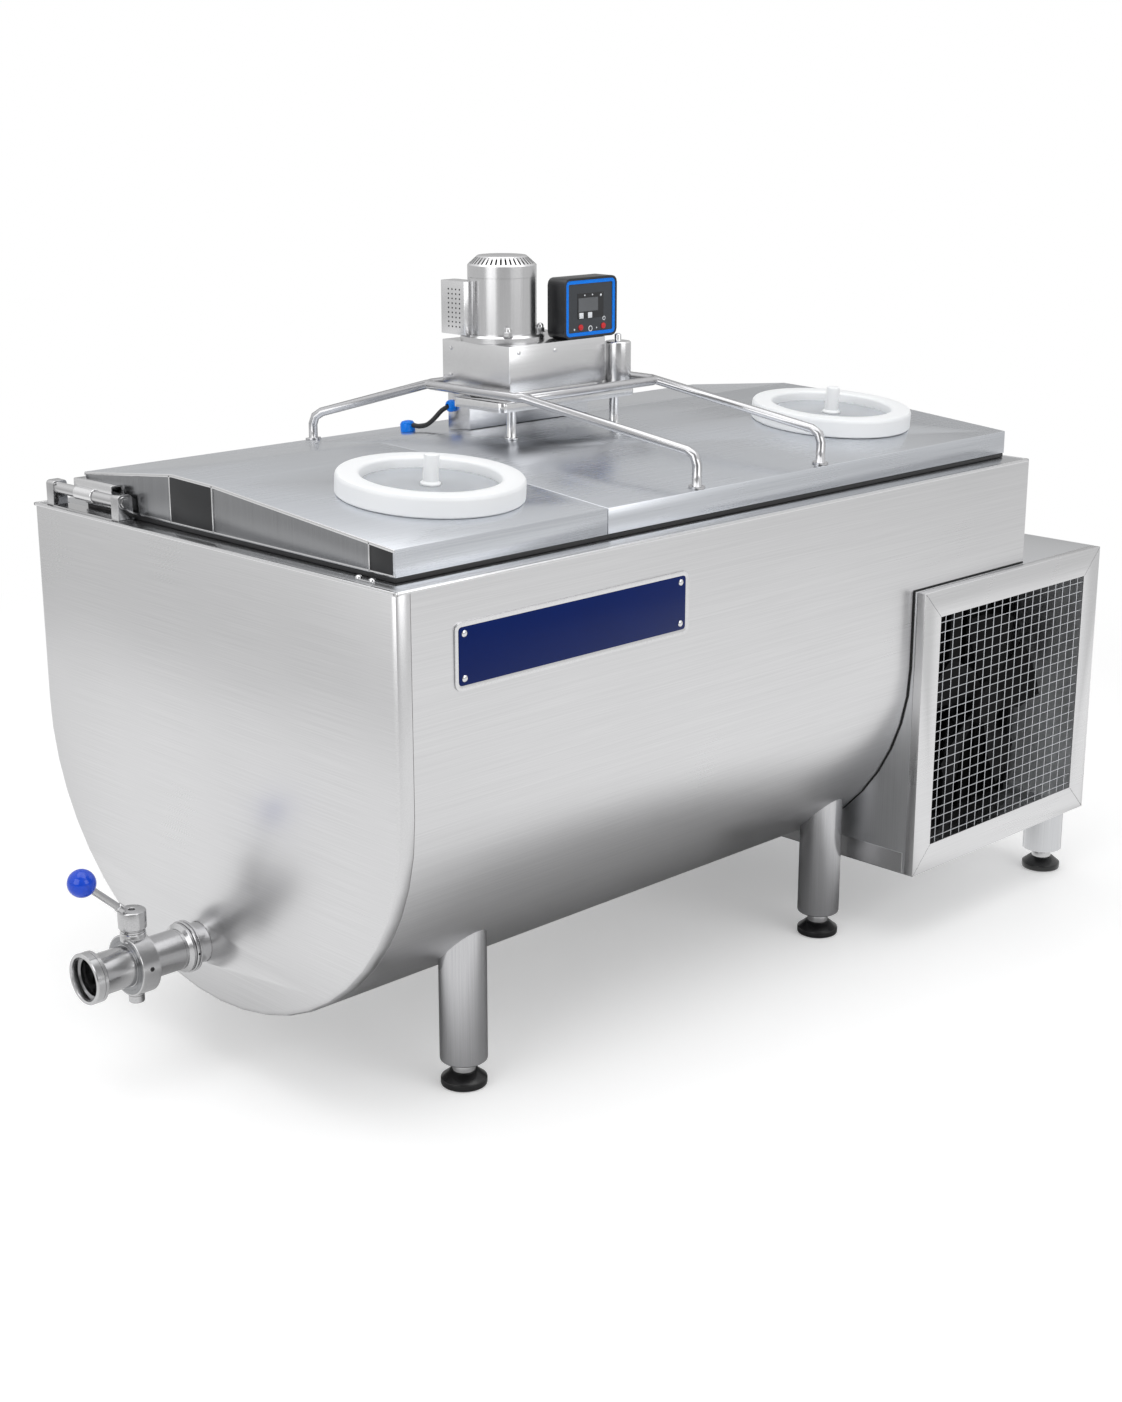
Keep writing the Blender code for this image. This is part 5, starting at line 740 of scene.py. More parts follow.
class COOLER_OT_outlet(bpy.types.Operator):
    """Neck with its clamp, butterfly valve, union, capped lever and ball"""

    bl_idname = "cooler.outlet"
    bl_label = "Outlet"

    def execute(self, context):
        place = along_x(*OUTLET)
        neck = turn(
            [
                (0.0306, -0.0465), (0.0329, -0.0465), (0.0329, 0.0185), (0.0352, 0.0195), (0.0352, 0.0222),
                (0.0405, 0.0222), (0.0419, 0.0234), (0.0419, 0.0256), (0.0411, 0.0262), (0.0392, 0.0268),
                (0.0392, 0.0280), (0.0411, 0.0286), (0.0419, 0.0292), (0.0419, 0.0314), (0.0405, 0.0324),
                (0.0306, 0.0324),
            ],
            place=place,
        )
        settle(neck, "outlet_neck_turning", "turned", stands_for="outlet_neck")
        # A dark disc stands in for the band's hole: painted shade.
        band_hole = turn([(0, 0), (0.0019, 0), (0.0019, 0.0006), (0, 0.0008)], 16)
        spot = standing(CLAMP_X, OUTLET.y - CLAMP_RADIUS, OUTLET.z) @ OUT_NEAR
        settle(copies(band_hole, [spot]), "clamp_band_hole", "slot")
        union = turn(
            [
                (0.0306, 0.1941), (0.0395, 0.1941), (0.0408, 0.1953), (0.0409, 0.2005), (0.0399, 0.201),
                (0.0399, 0.2017), (0.0409, 0.2022), (0.0409, 0.213), (0.0398, 0.2145), (0.0352, 0.2145),
                (0.0346, 0.2135), (0.0346, 0.2007), (0.0306, 0.2007),
            ],
            place=place,
        )
        settle(union, "union_ring_turning", "turned", stands_for="union_ring")
        upright = standing(VALVE_X, OUTLET.y, OUTLET.z)
        self.valve(place, upright)
        self.handle(upright)
        return {"FINISHED"}

    def valve(self, place, upright):
        """Ferrule, pipe, disc shaped body with its face ring, the collar above it and the bolted boss below."""
        turned = turn(
            [
                (0.0306, 0.0329), (0.0390, 0.0329), (0.0399, 0.0337), (0.0399, 0.0378), (0.0390, 0.0388),
                (0.0335, 0.0416), (0.0329, 0.0424), (0.0329, 0.0470), (0.0322, 0.0474), (0.0322, 0.0482),
                (0.0329, 0.0486), (0.0329, 0.1050), (0.0331, 0.1056), (0.0345, 0.1060), (0.0470, 0.1060),
                (0.0478, 0.1060), (0.0486, 0.1064), (0.0489, 0.1072), (0.0489, 0.1082), (0.0489, 0.1366),
                (0.0489, 0.1376), (0.0486, 0.1384), (0.0478, 0.1388), (0.0468, 0.1388), (0.0345, 0.1388),
                (0.0331, 0.1392), (0.0329, 0.1400), (0.0329, 0.1880), (0.0335, 0.1890), (0.0335, 0.1936),
                (0.0306, 0.1936),
            ],
            LARGE_SIDES, place,
        )
        collar = turn(
            [
                (0.0055, 0.0400), (0.0204, 0.0400), (0.0204, 0.0492), (0.0199, 0.0500), (0.0199, 0.0520),
                (0.0190, 0.0529), (0.0055, 0.0529),
            ],
            64, upright,
        )
        boss = turn(
            [
                (0, -0.0430), (0.0135, -0.0430), (0.0139, -0.0490), (0.0134, -0.0502), (0.0116, -0.0508),
                (0.0116, -0.0516), (0.0125, -0.0522), (0.0125, -0.0622), (0.0114, -0.0636), (0, -0.0638),
            ],
            56, upright,
        )
        face = turn(
            [
                (0.0338, 0.1380), (0.0338, 0.1390), (0.0386, 0.1393), (0.0390, 0.1389), (0.0398, 0.1389),
                (0.0402, 0.1393), (0.0459, 0.1393), (0.0463, 0.1389), (0.0463, 0.1380),
            ],
            LARGE_SIDES, place,
        )
        # The face ring is in that darker copy of steel: painted shade on the disc's face.
        settle(face, "valve_face_ring", "panel")
        settle(joined([turned, collar, boss]), "valve_body_turning", "turned", stands_for="valve_body")
        screw = turn(
            [
                (0, -0.001), (0.0036, -0.001), (0.0036, 0.0003), (0.0031, 0.0006), (0.0016, 0.0006),
                (0.0016, 0.0), (0, 0),
            ],
            24, standing(VALVE_X, OUTLET.y - VALVE_RADIUS, OUTLET.z + 0.004) @ OUT_NEAR,
        )
        settle(screw, "valve_body_screw", "rubber")

    def handle(self, upright):
        """Cap with a groove near its foot, the slanted rod and the ball."""
        cap = turn(
            [
                (0.0055, 0.0534), (0.0190, 0.0534), (0.0196, 0.0540), (0.0196, 0.0568), (0.0184, 0.0576),
                (0.0184, 0.0588), (0.0212, 0.0600), (0.0223, 0.0612), (0.0223, 0.0866), (0.0217, 0.0882),
                (0.0200, 0.0893), (0.0062, 0.0897), (0.0056, 0.0892), (0.0056, 0.0842), (0, 0.0842),
            ],
            place=upright,
        )
        rise = Vector((-BALL_OUT, 0, BALL_UP - LEVER_ROOT))
        slant = rise.to_track_quat("Z", "Y").to_matrix().to_4x4()
        tip = rise.length - BALL_RADIUS + ROD_IN_BALL
        rod = turn(
            [
                (0, 0.0205), (0.0074, 0.0205), (0.0074, 0.0325), (0.0068, 0.0334), (0.0058, 0.0340),
                (0.0058, tip), (0, tip),
            ],
            32, standing(VALVE_X, OUTLET.y, OUTLET.z + LEVER_ROOT) @ slant,
        )
        settle(joined([cap, rod]), "valve_lever_turning", "turned", "valve_handle", "valve_lever")
        flat = -math.sqrt(BALL_RADIUS**2 - BALL_SEAT**2)
        round_side = arc((0, 0), BALL_RADIUS, -70, 90, 30)[:-1]
        ball = turn(
            [(BALL_BORE, flat + 0.0008), (BALL_BORE + 0.0008, flat), *round_side, (0, BALL_RADIUS)],
            64, standing(VALVE_X - BALL_OUT, OUTLET.y, OUTLET.z + BALL_UP) @ slant,
        )
        settle(ball, "lever_ball", "ball", "valve_handle", "lever_knob")


# The belly is half an ellipse: its half width, the height where it springs and its depth.
BELLY_HALF = 0.456
BELLY_SPRING = 0.520
BELLY_DEPTH = 0.415
LEG_IN = 0.006
TANK_ENDS = ("front_near", "front_far", "mid_near", "mid_far")


class COOLER_OT_feet(bpy.types.Operator):
    """Levelling feet with steel neck and black puck, and the tank's round legs"""

    bl_idname = "cooler.feet"
    bl_label = "Levelling feet"

    def execute(self, context):
        for end in (*TANK_ENDS, "unit_near", "unit_far"):
            foot = f"foot_{end}"
            low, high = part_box(foot)
            place = Matrix.Translation(((low.x + high.x) / 2, (low.y + high.y) / 2, 0))
            puck = turn(
                [
                    (0, 0), (0.0338, 0), (0.0362, 0.0012), (0.0369, 0.0034), (0.0369, 0.0110), (0.0364, 0.0121),
                    (0.0352, 0.0128), (0.0228, 0.0232), (0.0208, 0.0238), (0, 0.0238),
                ],
                place=place,
            )
            settle(puck, f"{foot}_puck", "puck", foot)
            neck = turn(
                [
                    (0, 0.0239), (0.0182, 0.0239), (0.0188, 0.0245), (0.0188, 0.0402), (0.0182, 0.0412),
                    (0.0100, 0.0414), (0.0100, 0.0940), (0.0092, 0.0948), (0, 0.0948),
                ],
                56, place,
            )
            settle(neck, f"{foot}_neck", "turned", foot, foot)
        for end in TANK_ENDS:
            self.leg(f"leg_{end}")
        return {"FINISHED"}

    def leg(self, name):
        """Round tube with an eased lower edge, cut off along the belly's slope just inside the jacket."""
        low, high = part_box(name)
        middle = (low + high) / 2
        radius = (high.x - low.x) / 2 - 0.0001
        post = turn(
            [
                (0, low.z), (radius - 0.0040, low.z), (radius - 0.0024, low.z + 0.0004),
                (radius - 0.0007, low.z + 0.0018), (radius, low.z + 0.0040), (radius, high.z), (0, high.z),
            ],
            LARGE_SIDES, Matrix.Translation((middle.x, middle.y, 0)),
        )
        share = math.sqrt(1 - (middle.y / BELLY_HALF) ** 2)
        surface = Vector((middle.x, middle.y, BELLY_SPRING - BELLY_DEPTH * share))
        inward = Vector((0, -middle.y / BELLY_HALF**2, share / BELLY_DEPTH)).normalized()
        edit(post)
        bpy.ops.mesh.bisect(plane_co=surface + inward * LEG_IN, plane_no=inward, use_fill=True, clear_outer=True)
        bpy.ops.object.mode_set(mode="OBJECT")
        shade(post)
        settle(post, f"{name}_tube", "leg", stands_for=name)


HINGE_X = 0.015
HINGE_Z = 0.880
HINGE_NEAR = 0.213
HINGE_FAR = 0.420
HINGE_WIDTH = HINGE_FAR - HINGE_NEAR
# Width of each lug and of the sleeve between them, and the bracket's front and back edge.
LUG = 0.020
SLEEVE = 0.050
BRACKET_FRONT = 0.0032
BRACKET_BACK = 0.0338
PIN_BORE = 0.0053
LEAF_NEAR = HINGE_NEAR + LUG + 0.0003 + 0.0117
LEAF_WIDTH = 0.107
LEAF_BACK = 0.0367
LEAF_HALF = 0.0015


class COOLER_OT_hinge(bpy.types.Operator):
    """Barrel hinge: solid lugs on the rim with pin and bolt, the sleeve with its leaf, and the spring tubes"""

    bl_idname = "cooler.hinge"
    bl_label = "Lid hinge"

    def execute(self, context):
        axis = along_y(HINGE_X, HINGE_NEAR, HINGE_Z)
        start = LUG + 0.0004
        end = HINGE_WIDTH - LUG - 0.0004
        middle = (start + end) / 2
        self.bracket(axis)
        self.leaf(axis, middle)
        tubes = []
        for low, top in ((start, middle - SLEEVE / 2), (middle + SLEEVE / 2, end)):
            profile = [
                (PIN_BORE, low + 0.0002), (0.0088, low + 0.0002), (0.0094, low + 0.0008), (0.0094, top - 0.0008),
                (0.0088, top - 0.0002), (PIN_BORE, top - 0.0002),
            ]
            tubes.append(turn(profile, 48, axis))
        settle(joined(tubes), "hinge_spring_tubes", "turned", "front_lid")
        return {"FINISHED"}

    def bracket(self, axis):
        """Foot plate with two rounded lugs on tabs, the pin through them, its washer and its bolt head."""
        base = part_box("hinge_bracket")[0].z
        low, high = at(BRACKET_FRONT, HINGE_NEAR, base), at(BRACKET_BACK, HINGE_FAR, base + 0.0028)
        parts = [block(low, high, 0.0009)]
        lug_outline = [
            (0.0036, base + 0.0012), (0.0308, base + 0.0012), *arc((0.0248, HINGE_Z + 0.0058), 0.006, 0, 90, 6),
            *arc((0.0096, HINGE_Z + 0.0058), 0.006, 90, 180, 6),
        ]
        for near in (HINGE_NEAR, HINGE_FAR - LUG):
            parts.append(cut_sheet(lug_outline, LUG, facing_near(near + LUG), 0.0012))
            low, high = at(BRACKET_FRONT, near, base), at(BRACKET_BACK, near + LUG, base + 0.0042)
            parts.append(block(low, high, 0.0009))
        pin = turn([(0, 0.001), (0.0048, 0.001), (0.0048, HINGE_WIDTH - 0.001), (0, HINGE_WIDTH - 0.001)], 28, axis)
        washer = turn([(0, -0.0013), (0.0094, -0.0013), (0.0100, -0.0008), (0.0100, 0.0002), (0, 0.0002)], 36, axis)
        toward_camera = along_y(HINGE_X, HINGE_NEAR - 0.0010, HINGE_Z) @ Matrix.Rotation(math.pi, 4, "X")
        bolt = hexagon_head(0.0078, 0.0029, toward_camera)
        whole = joined([*parts, pin, washer, bolt])
        settle(whole, "hinge_bracket_folding", "turned", stands_for="hinge_bracket")

    def leaf(self, axis, middle):
        """Sleeve round the pin, and the folded strip from it over the cover's edge."""
        near, far = middle - SLEEVE / 2, middle + SLEEVE / 2
        sleeve = turn(
            [
                (PIN_BORE, near), (0.0108, near), (0.0115, near + 0.0008), (0.0115, far - 0.0008), (0.0108, far),
                (PIN_BORE, far),
            ],
            56, axis,
        )
        high = HINGE_Z + 0.0225
        outline = [
            (HINGE_X - LEAF_HALF, HINGE_Z + 0.008), (HINGE_X + LEAF_HALF, HINGE_Z + 0.008),
            (HINGE_X + LEAF_HALF, high - 0.003), (LEAF_BACK - 0.003, high - 0.003),
            (LEAF_BACK - 0.003, high - 0.022), (LEAF_BACK, high - 0.022), (LEAF_BACK, high),
            (HINGE_X - LEAF_HALF, high),
        ]
        strip = cut_sheet(outline, LEAF_WIDTH, facing_near(LEAF_NEAR + LEAF_WIDTH), 0.0007)
        settle(joined([sleeve, strip]), "hinge_leaf_folding", "bright", "front_lid", "hinge_leaf")


MOTOR = Vector((0.708, 0.085, 0))
NUT_CIRCLE = 0.0655
NUT_TURN = math.radians(55)
NUTS = 4
FLANGE_UP = 0.0125
COWL_SIDE = 0.0200
COWL_SLOTS = 40
# Places along and up the drive box's near face, and across and up its left face.
NEAR_SCREWS = ((0.6656, 1.0759), (0.7509, 1.0735))
LEFT_SCREWS = ((0.148, 1.0736), (0.1495, 1.0281))
VENT_ROWS = 9
VENT_COLUMNS = 4
VENT_START = (0.1070, 1.1130)
VENT_STEP = (0.0093, 0.0078)


class COOLER_OT_drive(bpy.types.Operator):
    """Motor cowl with its slots, flange nuts, box screws, terminal box vents and the lead's second gland"""

    bl_idname = "cooler.drive"
    bl_label = "Agitator drive"

    def execute(self, context):
        self.cowl()
        self.nuts()
        screw = turn(
            [
                (0, -0.0006), (0.0030, -0.0006), (0.0036, 0.0002), (0.0034, 0.0012), (0.0020, 0.0019),
                (0.0008, 0.0019), (0.0006, 0.0009), (0, 0.0008),
            ],
            24,
        )
        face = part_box("drive_box")[0]
        places = [Matrix.Translation(Vector((FRONT + x, face.y, z))) @ OUT_NEAR for x, z in NEAR_SCREWS]
        places += [Matrix.Translation(Vector((face.x, y, z))) @ OUT_FRONT for y, z in LEFT_SCREWS]
        settle(copies(screw, places), "drive_box_screws", "bright")
        # Dark discs on the wall stand in for the vent holes: painted shade.
        hole = turn([(0, 0), (0.0015, 0), (0.0015, 0.0005), (0, 0.0006)], 12)
        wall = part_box("terminal_box")[0].x + 0.0003
        places = []
        for row in range(VENT_ROWS):
            for column in range(VENT_COLUMNS):
                y, z = VENT_START[0] + column * VENT_STEP[0], VENT_START[1] + row * VENT_STEP[1]
                places.append(Matrix.Translation(Vector((wall, y, z))) @ OUT_FRONT)
        settle(copies(hole, places), "terminal_box_vents", "slot")
        gland = turn(
            [
                (0.0044, 0.0), (0.0098, 0.0), (0.0104, 0.0008), (0.0104, 0.0060), (0.0096, 0.0085),
                (0.0072, 0.0110), (0.0052, 0.0124), (0.0044, 0.0124),
            ],
            40, along_x(0.6477, 0.148, 0.974),
        )
        settle(gland, "lead_gland_pedestal", "blue")
        return {"FINISHED"}

    def cowl(self):
        """Spun sheet cowl with slots pierced round its cone, and a dark ring of painted shade under them."""
        low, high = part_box("motor_cowl")
        radius = (high.x - low.x) / 2
        side = low.z + COWL_SIDE
        middle = standing(*MOTOR)
        shell = turn(
            [
                (0, high.z), (0.0412, high.z), (0.0422, high.z - 0.0005), (radius - 0.0010, side + 0.0004),
                (radius, side - 0.0008), (radius, low.z), (radius - 0.0015, low.z),
                (radius - 0.0015, side - 0.0016), (0.0408, high.z - 0.0017), (0, high.z - 0.0017),
            ],
            LARGE_SIDES, middle,
        )
        slot = block((0.0440, -0.0016, side - 0.0010), (0.0560, 0.0016, high.z + 0.0010))
        turns = [middle @ Matrix.Rotation(math.tau * number / COWL_SLOTS, 4, "Z") for number in range(COWL_SLOTS)]
        carve(shell, copies(slot, turns))
        settle(shell, "motor_cowl_spinning", "satin", stands_for="motor_cowl")
        # A thin black ring inside the cowl, seen through the slots: painted shade.
        foot, top = low.z + 0.0186, low.z + 0.0192
        painted_slot_shade = turn([(0.0385, foot), (0.0566, foot), (0.0566, top), (0.0385, top)], 64, middle)
        settle(painted_slot_shade, "motor_cowl_painted_slot_shade", "slot")

    def nuts(self):
        """Domed nuts and washers on the flange bolts."""
        washer = turn(
            [(0.0050, 0.0), (0.0086, 0.0), (0.0090, 0.0004), (0.0090, 0.0010), (0.0050, 0.0012)], 32
        )
        hexagon = turn(
            [(0.0049, 0.0012), (0.0076, 0.0012), (0.0076, 0.0068), (0.0068, 0.0076), (0.0049, 0.0076)], 6
        )
        shade(hexagon, HEXAGON_ANGLE)
        dome = turn(
            [
                (0.0060, 0.0072), (0.0059, 0.0110), (0.0050, 0.0135), (0.0034, 0.0149), (0.0016, 0.0154),
                (0, 0.0155),
            ],
            32,
        )
        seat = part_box("motor_body")[0].z + FLANGE_UP
        places = []
        for number in range(NUTS):
            angle = NUT_TURN + math.tau * number / NUTS
            x, y = MOTOR.x + NUT_CIRCLE * math.cos(angle), MOTOR.y + NUT_CIRCLE * math.sin(angle)
            places.append(standing(x, y, seat))
        settle(copies(joined([washer, hexagon, dome]), places), "motor_flange_nuts", "turned")


# Place along and up the panel, and radius, of each lamp. A ring has an outer and an inner radius.
PANEL_LAMPS = (
    (0.8018, 1.1031, 0.0017), (0.8558, 1.1030, 0.0014), (0.8265, 1.1600, 0.0014), (0.8455, 1.1600, 0.0014),
    (0.8662, 1.1585, 0.0020),
)
PANEL_RINGS = ((0.8409, 1.1027, 0.0050, 0.0036), (0.8743, 1.1180, 0.0036, 0.0024))


class COOLER_OT_panel(bpy.types.Operator):
    """Display window and the small marks round the buttons"""

    bl_idname = "cooler.panel"
    bl_label = "Control panel"

    def execute(self, context):
        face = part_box("control_fascia")[0].y
        surround = block(at(0.8089, face - 0.0004, 1.1205), at(0.8731, face + 0.0002, 1.1635), 0.0002)
        settle(surround, "display_surround", "black")
        glass = block(at(0.8113, face - 0.0009, 1.1326), at(0.8590, face - 0.0003, 1.1556), 0.0002)
        settle(glass, "display_glass", "glass")
        lights = []
        for x, z, half in PANEL_LAMPS:
            here = standing(x, face - 0.0002, z) @ OUT_NEAR
            lights.append(turn([(0, 0), (half, 0), (half, 0.0003), (half * 0.8, 0.0006), (0, 0.0007)], 24, here))
        for x, z, outer, inner in PANEL_RINGS:
            here = standing(x, face + 0.0001, z) @ OUT_NEAR
            lights.append(turn([(inner, 0), (outer, 0), (outer, 0.0004), (inner, 0.0006)], 40, here))
        settle(joined(lights), "panel_lights", "white")
        return {"FINISHED"}


PLATE_X = (0.104, 0.590)
PLATE_Z = (0.690, 0.790)
PLATE_INSET = 0.0074
PLATE_CORNER = 0.006
RIVET_IN = (0.011, 0.010)


class COOLER_OT_plate(bpy.types.Operator):
    """Bare blue plate in its raised bright frame, with four rivets"""

    bl_idname = "cooler.plate"
    bl_label = "Plate"

    def execute(self, context):
        finish_node("nameplate", "bright", 0.0006)
        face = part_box("nameplate")[0].y + 0.0015
        x0, x1 = PLATE_X[0] + PLATE_INSET, PLATE_X[1] - PLATE_INSET
        z0, z1 = PLATE_Z[0] + PLATE_INSET, PLATE_Z[1] - PLATE_INSET
        corners = (
            (x1 - PLATE_CORNER, z0 + PLATE_CORNER), (x1 - PLATE_CORNER, z1 - PLATE_CORNER),
            (x0 + PLATE_CORNER, z1 - PLATE_CORNER), (x0 + PLATE_CORNER, z0 + PLATE_CORNER),
        )
        outline = []
        for corner, first in zip(corners, (-90, 0, 90, 180)):
            outline += arc(corner, PLATE_CORNER, first, first + 90, 6)
        settle(cut_sheet(outline, 0.0005, facing_near(face + 0.0001), 0.0002), "plate_field", "plate")
        rivet = turn(
            [(0, -0.0002), (0.0050, -0.0002), (0.0051, 0.0003), (0.0046, 0.0010), (0.0030, 0.0016), (0, 0.0019)], 28
        )
        spots = [
            standing(x, face - 0.0004, z) @ OUT_NEAR
            for x in (x0 + RIVET_IN[0], x1 - RIVET_IN[0])
            for z in (z0 + RIVET_IN[1], z1 - RIVET_IN[1])
        ]
        settle(copies(rivet, spots), "plate_rivets", "bright")
        return {"FINISHED"}


LID_FACE = 0.037
LID_FOOT = 0.8600
LID_DROP = 0.0022
RIDGE = (0.007, 0.117)
CORNER_PLUG = -0.3585
# Across and up the lid's front end: its near edge, both ridge lines and its far edge.
LID_TOP = (LID_NEAR, (0.007, 0.933), (0.110, 0.936), (0.355, 0.909))
# Name, look, near and far edge, and how far each part of the lid's front stands proud.
# The end panels' darker look is painted shade.
LID_PANELS = (
    ("near_end_panel", "panel", -0.3575, RIDGE[0] - 0.001, 0.0005),
    ("far_end_panel", "panel", RIDGE[1] + 0.001, 0.3520, 0.0005),
    ("ridge_plug", "black", *RIDGE, 0.0009),
    ("corner_plug", "black", -0.4080, CORNER_PLUG, 0.0007),
)
STRIP_HALF = 0.0015
LIP_ENDS = (-0.4125, 0.3545)
# Clip on the rim: its place along the tank, its ends across it and its knobs.
CLIP_X = 0.020
CLIP_Y = (-0.3880, -0.3500)
CLIP_KNOBS = (-0.3835, -0.3545)


def lid_height(y):
    """Height of the lid's front end at a place across it."""
    for (y0, z0), (y1, z1) in zip(LID_TOP, LID_TOP[1:]):
        if y <= y1:
            return z0 + (z1 - z0) * (y - y0) / (y1 - y0)
    return LID_TOP[-1][1]


class COOLER_OT_lid_trim(bpy.types.Operator):
    """End panels, black plugs, strips and lip of the lid's front, the rim's rounded edge and its small clip"""

    bl_idname = "cooler.lid_trim"
    bl_label = "Lid trim"

    def execute(self, context):
        for name, look, y0, y1, proud in LID_PANELS:
            bends = [y for y, z in reversed(LID_TOP) if y0 < y < y1]
            crown = [(y, lid_height(y) - LID_DROP) for y in (y1, *bends, y0)]
            outline = [(y0, LID_FOOT), (y1, LID_FOOT), *crown]
            sheet = cut_sheet(outline, 0.0008, facing_front(LID_FACE - proud), 0.00025)
            settle(sheet, name, look, "front_lid")
        self.strips()
        self.rim()
        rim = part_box("rim_deck")[1].z
        low, high = at(CLIP_X - 0.0035, CLIP_Y[0], rim + 0.0002), at(CLIP_X + 0.0035, CLIP_Y[1], rim + 0.0018)
        strap = block(low, high, 0.0006)
        knob = turn(
            [(0, 0.0016), (0.0046, 0.0016), (0.0050, 0.0024), (0.0046, 0.0048), (0.0030, 0.0062), (0, 0.0066)], 28
        )
        knobs = copies(knob, [standing(CLIP_X, y, rim) for y in CLIP_KNOBS])
        settle(joined([strap, knobs]), "rim_clip", "bright")
        return {"FINISHED"}

    def strips(self):
        """Bright edges of the lid's front: upright strips beside the plugs, the lip above and the rail below."""
        front = facing_front(LID_FACE - 0.0016)
        strips = []
        for y in (*RIDGE, CORNER_PLUG, 0.3515):
            top = lid_height(y) - LID_DROP
            low, high = y - STRIP_HALF, y + STRIP_HALF
            strips.append(cut_sheet([(low, LID_FOOT), (high, LID_FOOT), (high, top), (low, top)], 0.0014, front, 0.0003))
        ends = (LIP_ENDS[0], *(y for y, z in LID_TOP[1:-1]), LIP_ENDS[1])
        crown = [(y, lid_height(y) - 0.0002) for y in ends]
        lip = [*crown, *((y, lid_height(y) - 0.0052) for y in reversed(ends))]
        strips.append(cut_sheet(lip, 0.0026, front, 0.0009, 3))
        low, high = LID_FOOT - 0.0010, LID_FOOT + 0.0016
        rail = [(LIP_ENDS[0], low), (LIP_ENDS[1], low), (LIP_ENDS[1], high), (LIP_ENDS[0], high)]
        strips.append(cut_sheet(rail, 0.0014, front, 0.0004))
        settle(joined(strips), "lid_front_strips", "bright", "front_lid")

    def rim(self):
        """Rounded edge round the rim, which catches a bright line."""
        low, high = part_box("rim_deck")
        out, width = 0.0004, 0.0070
        top = high.z + 0.0006
        foot = top - 0.0060
        x0, x1, y0, y1 = low.x - out, high.x + out, low.y - out, high.y + out
        edges = (
            ((x0, y0), (low.x + width, y1)),
            ((high.x - width, y0), (x1, y1)),
            ((x0, y0), (x1, low.y + width)),
            ((x0, high.y - width), (x1, y1)),
        )
        sides = [block((*a, foot), (*b, top), 0.0026, 5) for a, b in edges]
        for side in sides:
            shade(side)
        settle(joined(sides), "rim_rounding", "bright")


# The unit's foot band: half its length across the tank, and its lower and upper edge.
BAND_HALF = 0.4560
BAND_Z = (0.1320, 0.1700)
SHELF_Z = 0.6555
# Depth of the painted shadow lines where the jacket meets the unit.
SHADOW_LINE_DEPTH = 0.0042
MITRE_HALF = 0.0004


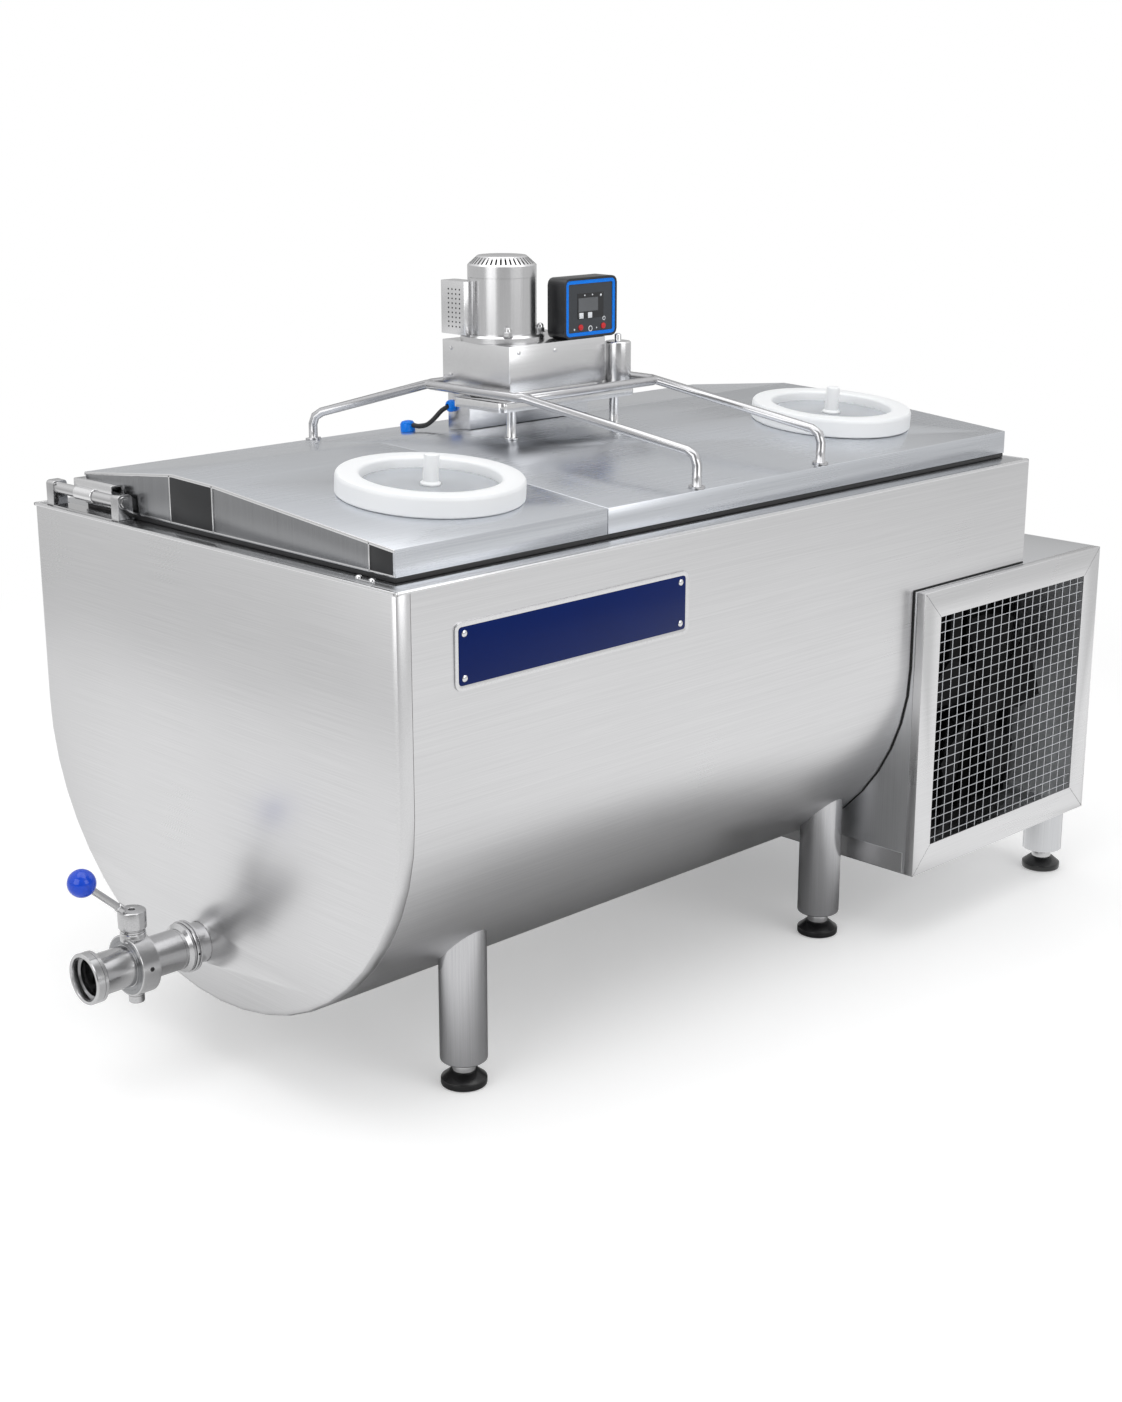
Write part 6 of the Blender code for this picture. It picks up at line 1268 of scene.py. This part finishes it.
class COOLER_OT_grille(bpy.types.Operator):
    """Woven wire, the frame's mitres, the band along the case's foot and the painted shadow lines round it"""

    bl_idname = "cooler.grille"
    bl_label = "Grille"

    def execute(self, context):
        look = context.scene.milk_cooler_finish
        self.wires(look)
        self.mitres(look.border)
        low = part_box("unit_case")[0]
        corner = (low.x - 0.0010, -BAND_HALF, BAND_Z[0])
        band = block(corner, (low.x + 0.0002, BAND_HALF, BAND_Z[1]), 0.0004)
        settle(band, "unit_foot_band", "frame")
        self.shadow_lines(low)
        return {"FINISHED"}

    def wires(self, look):
        """Upright and level wires, each set a little to its own side of the mesh."""
        low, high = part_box("grille_mesh")
        middle = (low.y + high.y) / 2
        half = look.wire / 2
        wires = []
        for upright, count, start, end, other in (
            (True, look.mesh_columns, low.x, high.x, (low.z, high.z)),
            (False, look.mesh_rows, low.z, high.z, (low.x, high.x)),
        ):
            length = other[1] - other[0]
            rod = turn([(0, 0), (half, 0), (half, length), (0, length)], 8)
            places = []
            for number in range(count + 1):
                level = start + half + (end - start - look.wire) * number / count
                if upright:
                    places.append(Matrix.Translation((level, middle + half * 0.4, other[0])))
                else:
                    sideways = Matrix.Rotation(math.radians(90), 4, "Y")
                    places.append(Matrix.Translation((other[0], middle - half * 0.4, level)) @ sideways)
            wires.append(copies(rod, places))
        settle(joined(wires), "grille_wires", "wire", stands_for="grille_mesh")

    def shadow_lines(self, low):
        """Painted shadow where the jacket meets the unit: black lines round the belly's end and along the shelf."""
        edges = []
        for out in (0.0016, -0.0030):
            half, depth = BELLY_HALF + out, BELLY_DEPTH + out
            turns = [math.radians(180 + 7.5 * step) for step in range(25)]
            belly = [(half * math.cos(angle), BELLY_SPRING + depth * math.sin(angle)) for angle in turns]
            edges.append([(-half, SHELF_Z), *belly, (half, SHELF_Z)])
        belly_shadow = cut_sheet([*edges[0], *reversed(edges[1])], SHADOW_LINE_DEPTH, facing_front(low.x - FRONT - 0.0040))
        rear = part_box("outer_jacket")[1].x
        corner = (low.x - 0.0035, -BELLY_HALF - 0.0016, SHELF_Z - 0.0002)
        line = block(corner, (rear - 0.001, -BELLY_HALF + 0.001, SHELF_Z + 0.0032), 0.0006)
        settle(joined([belly_shadow, line]), "unit_painted_shadow_lines", "slot")

    def mitres(self, border):
        """Fine dark joint across each corner of the frame."""
        low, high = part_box("grille_frame")
        joints = []
        for x, way_x in ((low.x, 1), (high.x, -1)):
            for z, way_z in ((low.z, 1), (high.z, -1)):
                start = Vector((x - FRONT + way_x * 0.0012, z + way_z * 0.0012))
                end = Vector((x - FRONT + way_x * (border - 0.0006), z + way_z * (border - 0.0006)))
                side = (end - start).orthogonal().normalized() * MITRE_HALF
                outline = [tuple(start - side), tuple(end - side), tuple(end + side), tuple(start + side)]
                joints.append(cut_sheet(outline, 0.0003, facing_near(low.y + 0.0003)))
        settle(joined(joints), "frame_mitres", "slot")


class COOLER_PT_panel(bpy.types.Panel):
    """Settings of the finish, and a button for each step"""

    bl_label = "Milk cooler"
    bl_idname = "COOLER_PT_panel"
    bl_space_type = "VIEW_3D"
    bl_region_type = "UI"
    bl_category = "Milk cooler"

    def draw(self, context):
        look = context.scene.milk_cooler_finish
        for name in MilkCoolerFinish.__annotations__:
            self.layout.prop(look, name)
        for step in STEPS:
            self.layout.operator(step)


STEPS = (
    "cooler.stage", "cooler.construction", "cooler.hatches", "cooler.outlet", "cooler.feet", "cooler.hinge",
    "cooler.drive", "cooler.panel", "cooler.plate", "cooler.lid_trim", "cooler.grille",
)
CLASSES = (
    MilkCoolerFinish, COOLER_OT_stage, COOLER_OT_construction, COOLER_OT_hatches, COOLER_OT_outlet, COOLER_OT_feet,
    COOLER_OT_hinge, COOLER_OT_drive, COOLER_OT_panel, COOLER_OT_plate, COOLER_OT_lid_trim, COOLER_OT_grille,
    COOLER_PT_panel,
)


def register():
    for item in CLASSES:
        bpy.utils.register_class(item)
    bpy.types.Scene.milk_cooler_finish = PointerProperty(type=MilkCoolerFinish)


def unregister():
    del bpy.types.Scene.milk_cooler_finish
    for item in reversed(CLASSES):
        bpy.utils.unregister_class(item)


def main():
    register()
    build_materials()
    bpy.ops.object.select_all(action="DESELECT")
    for step in STEPS:
        group, name = step.split(".")
        getattr(getattr(bpy.ops, group), name)()


if __name__ == "__main__":
    main()
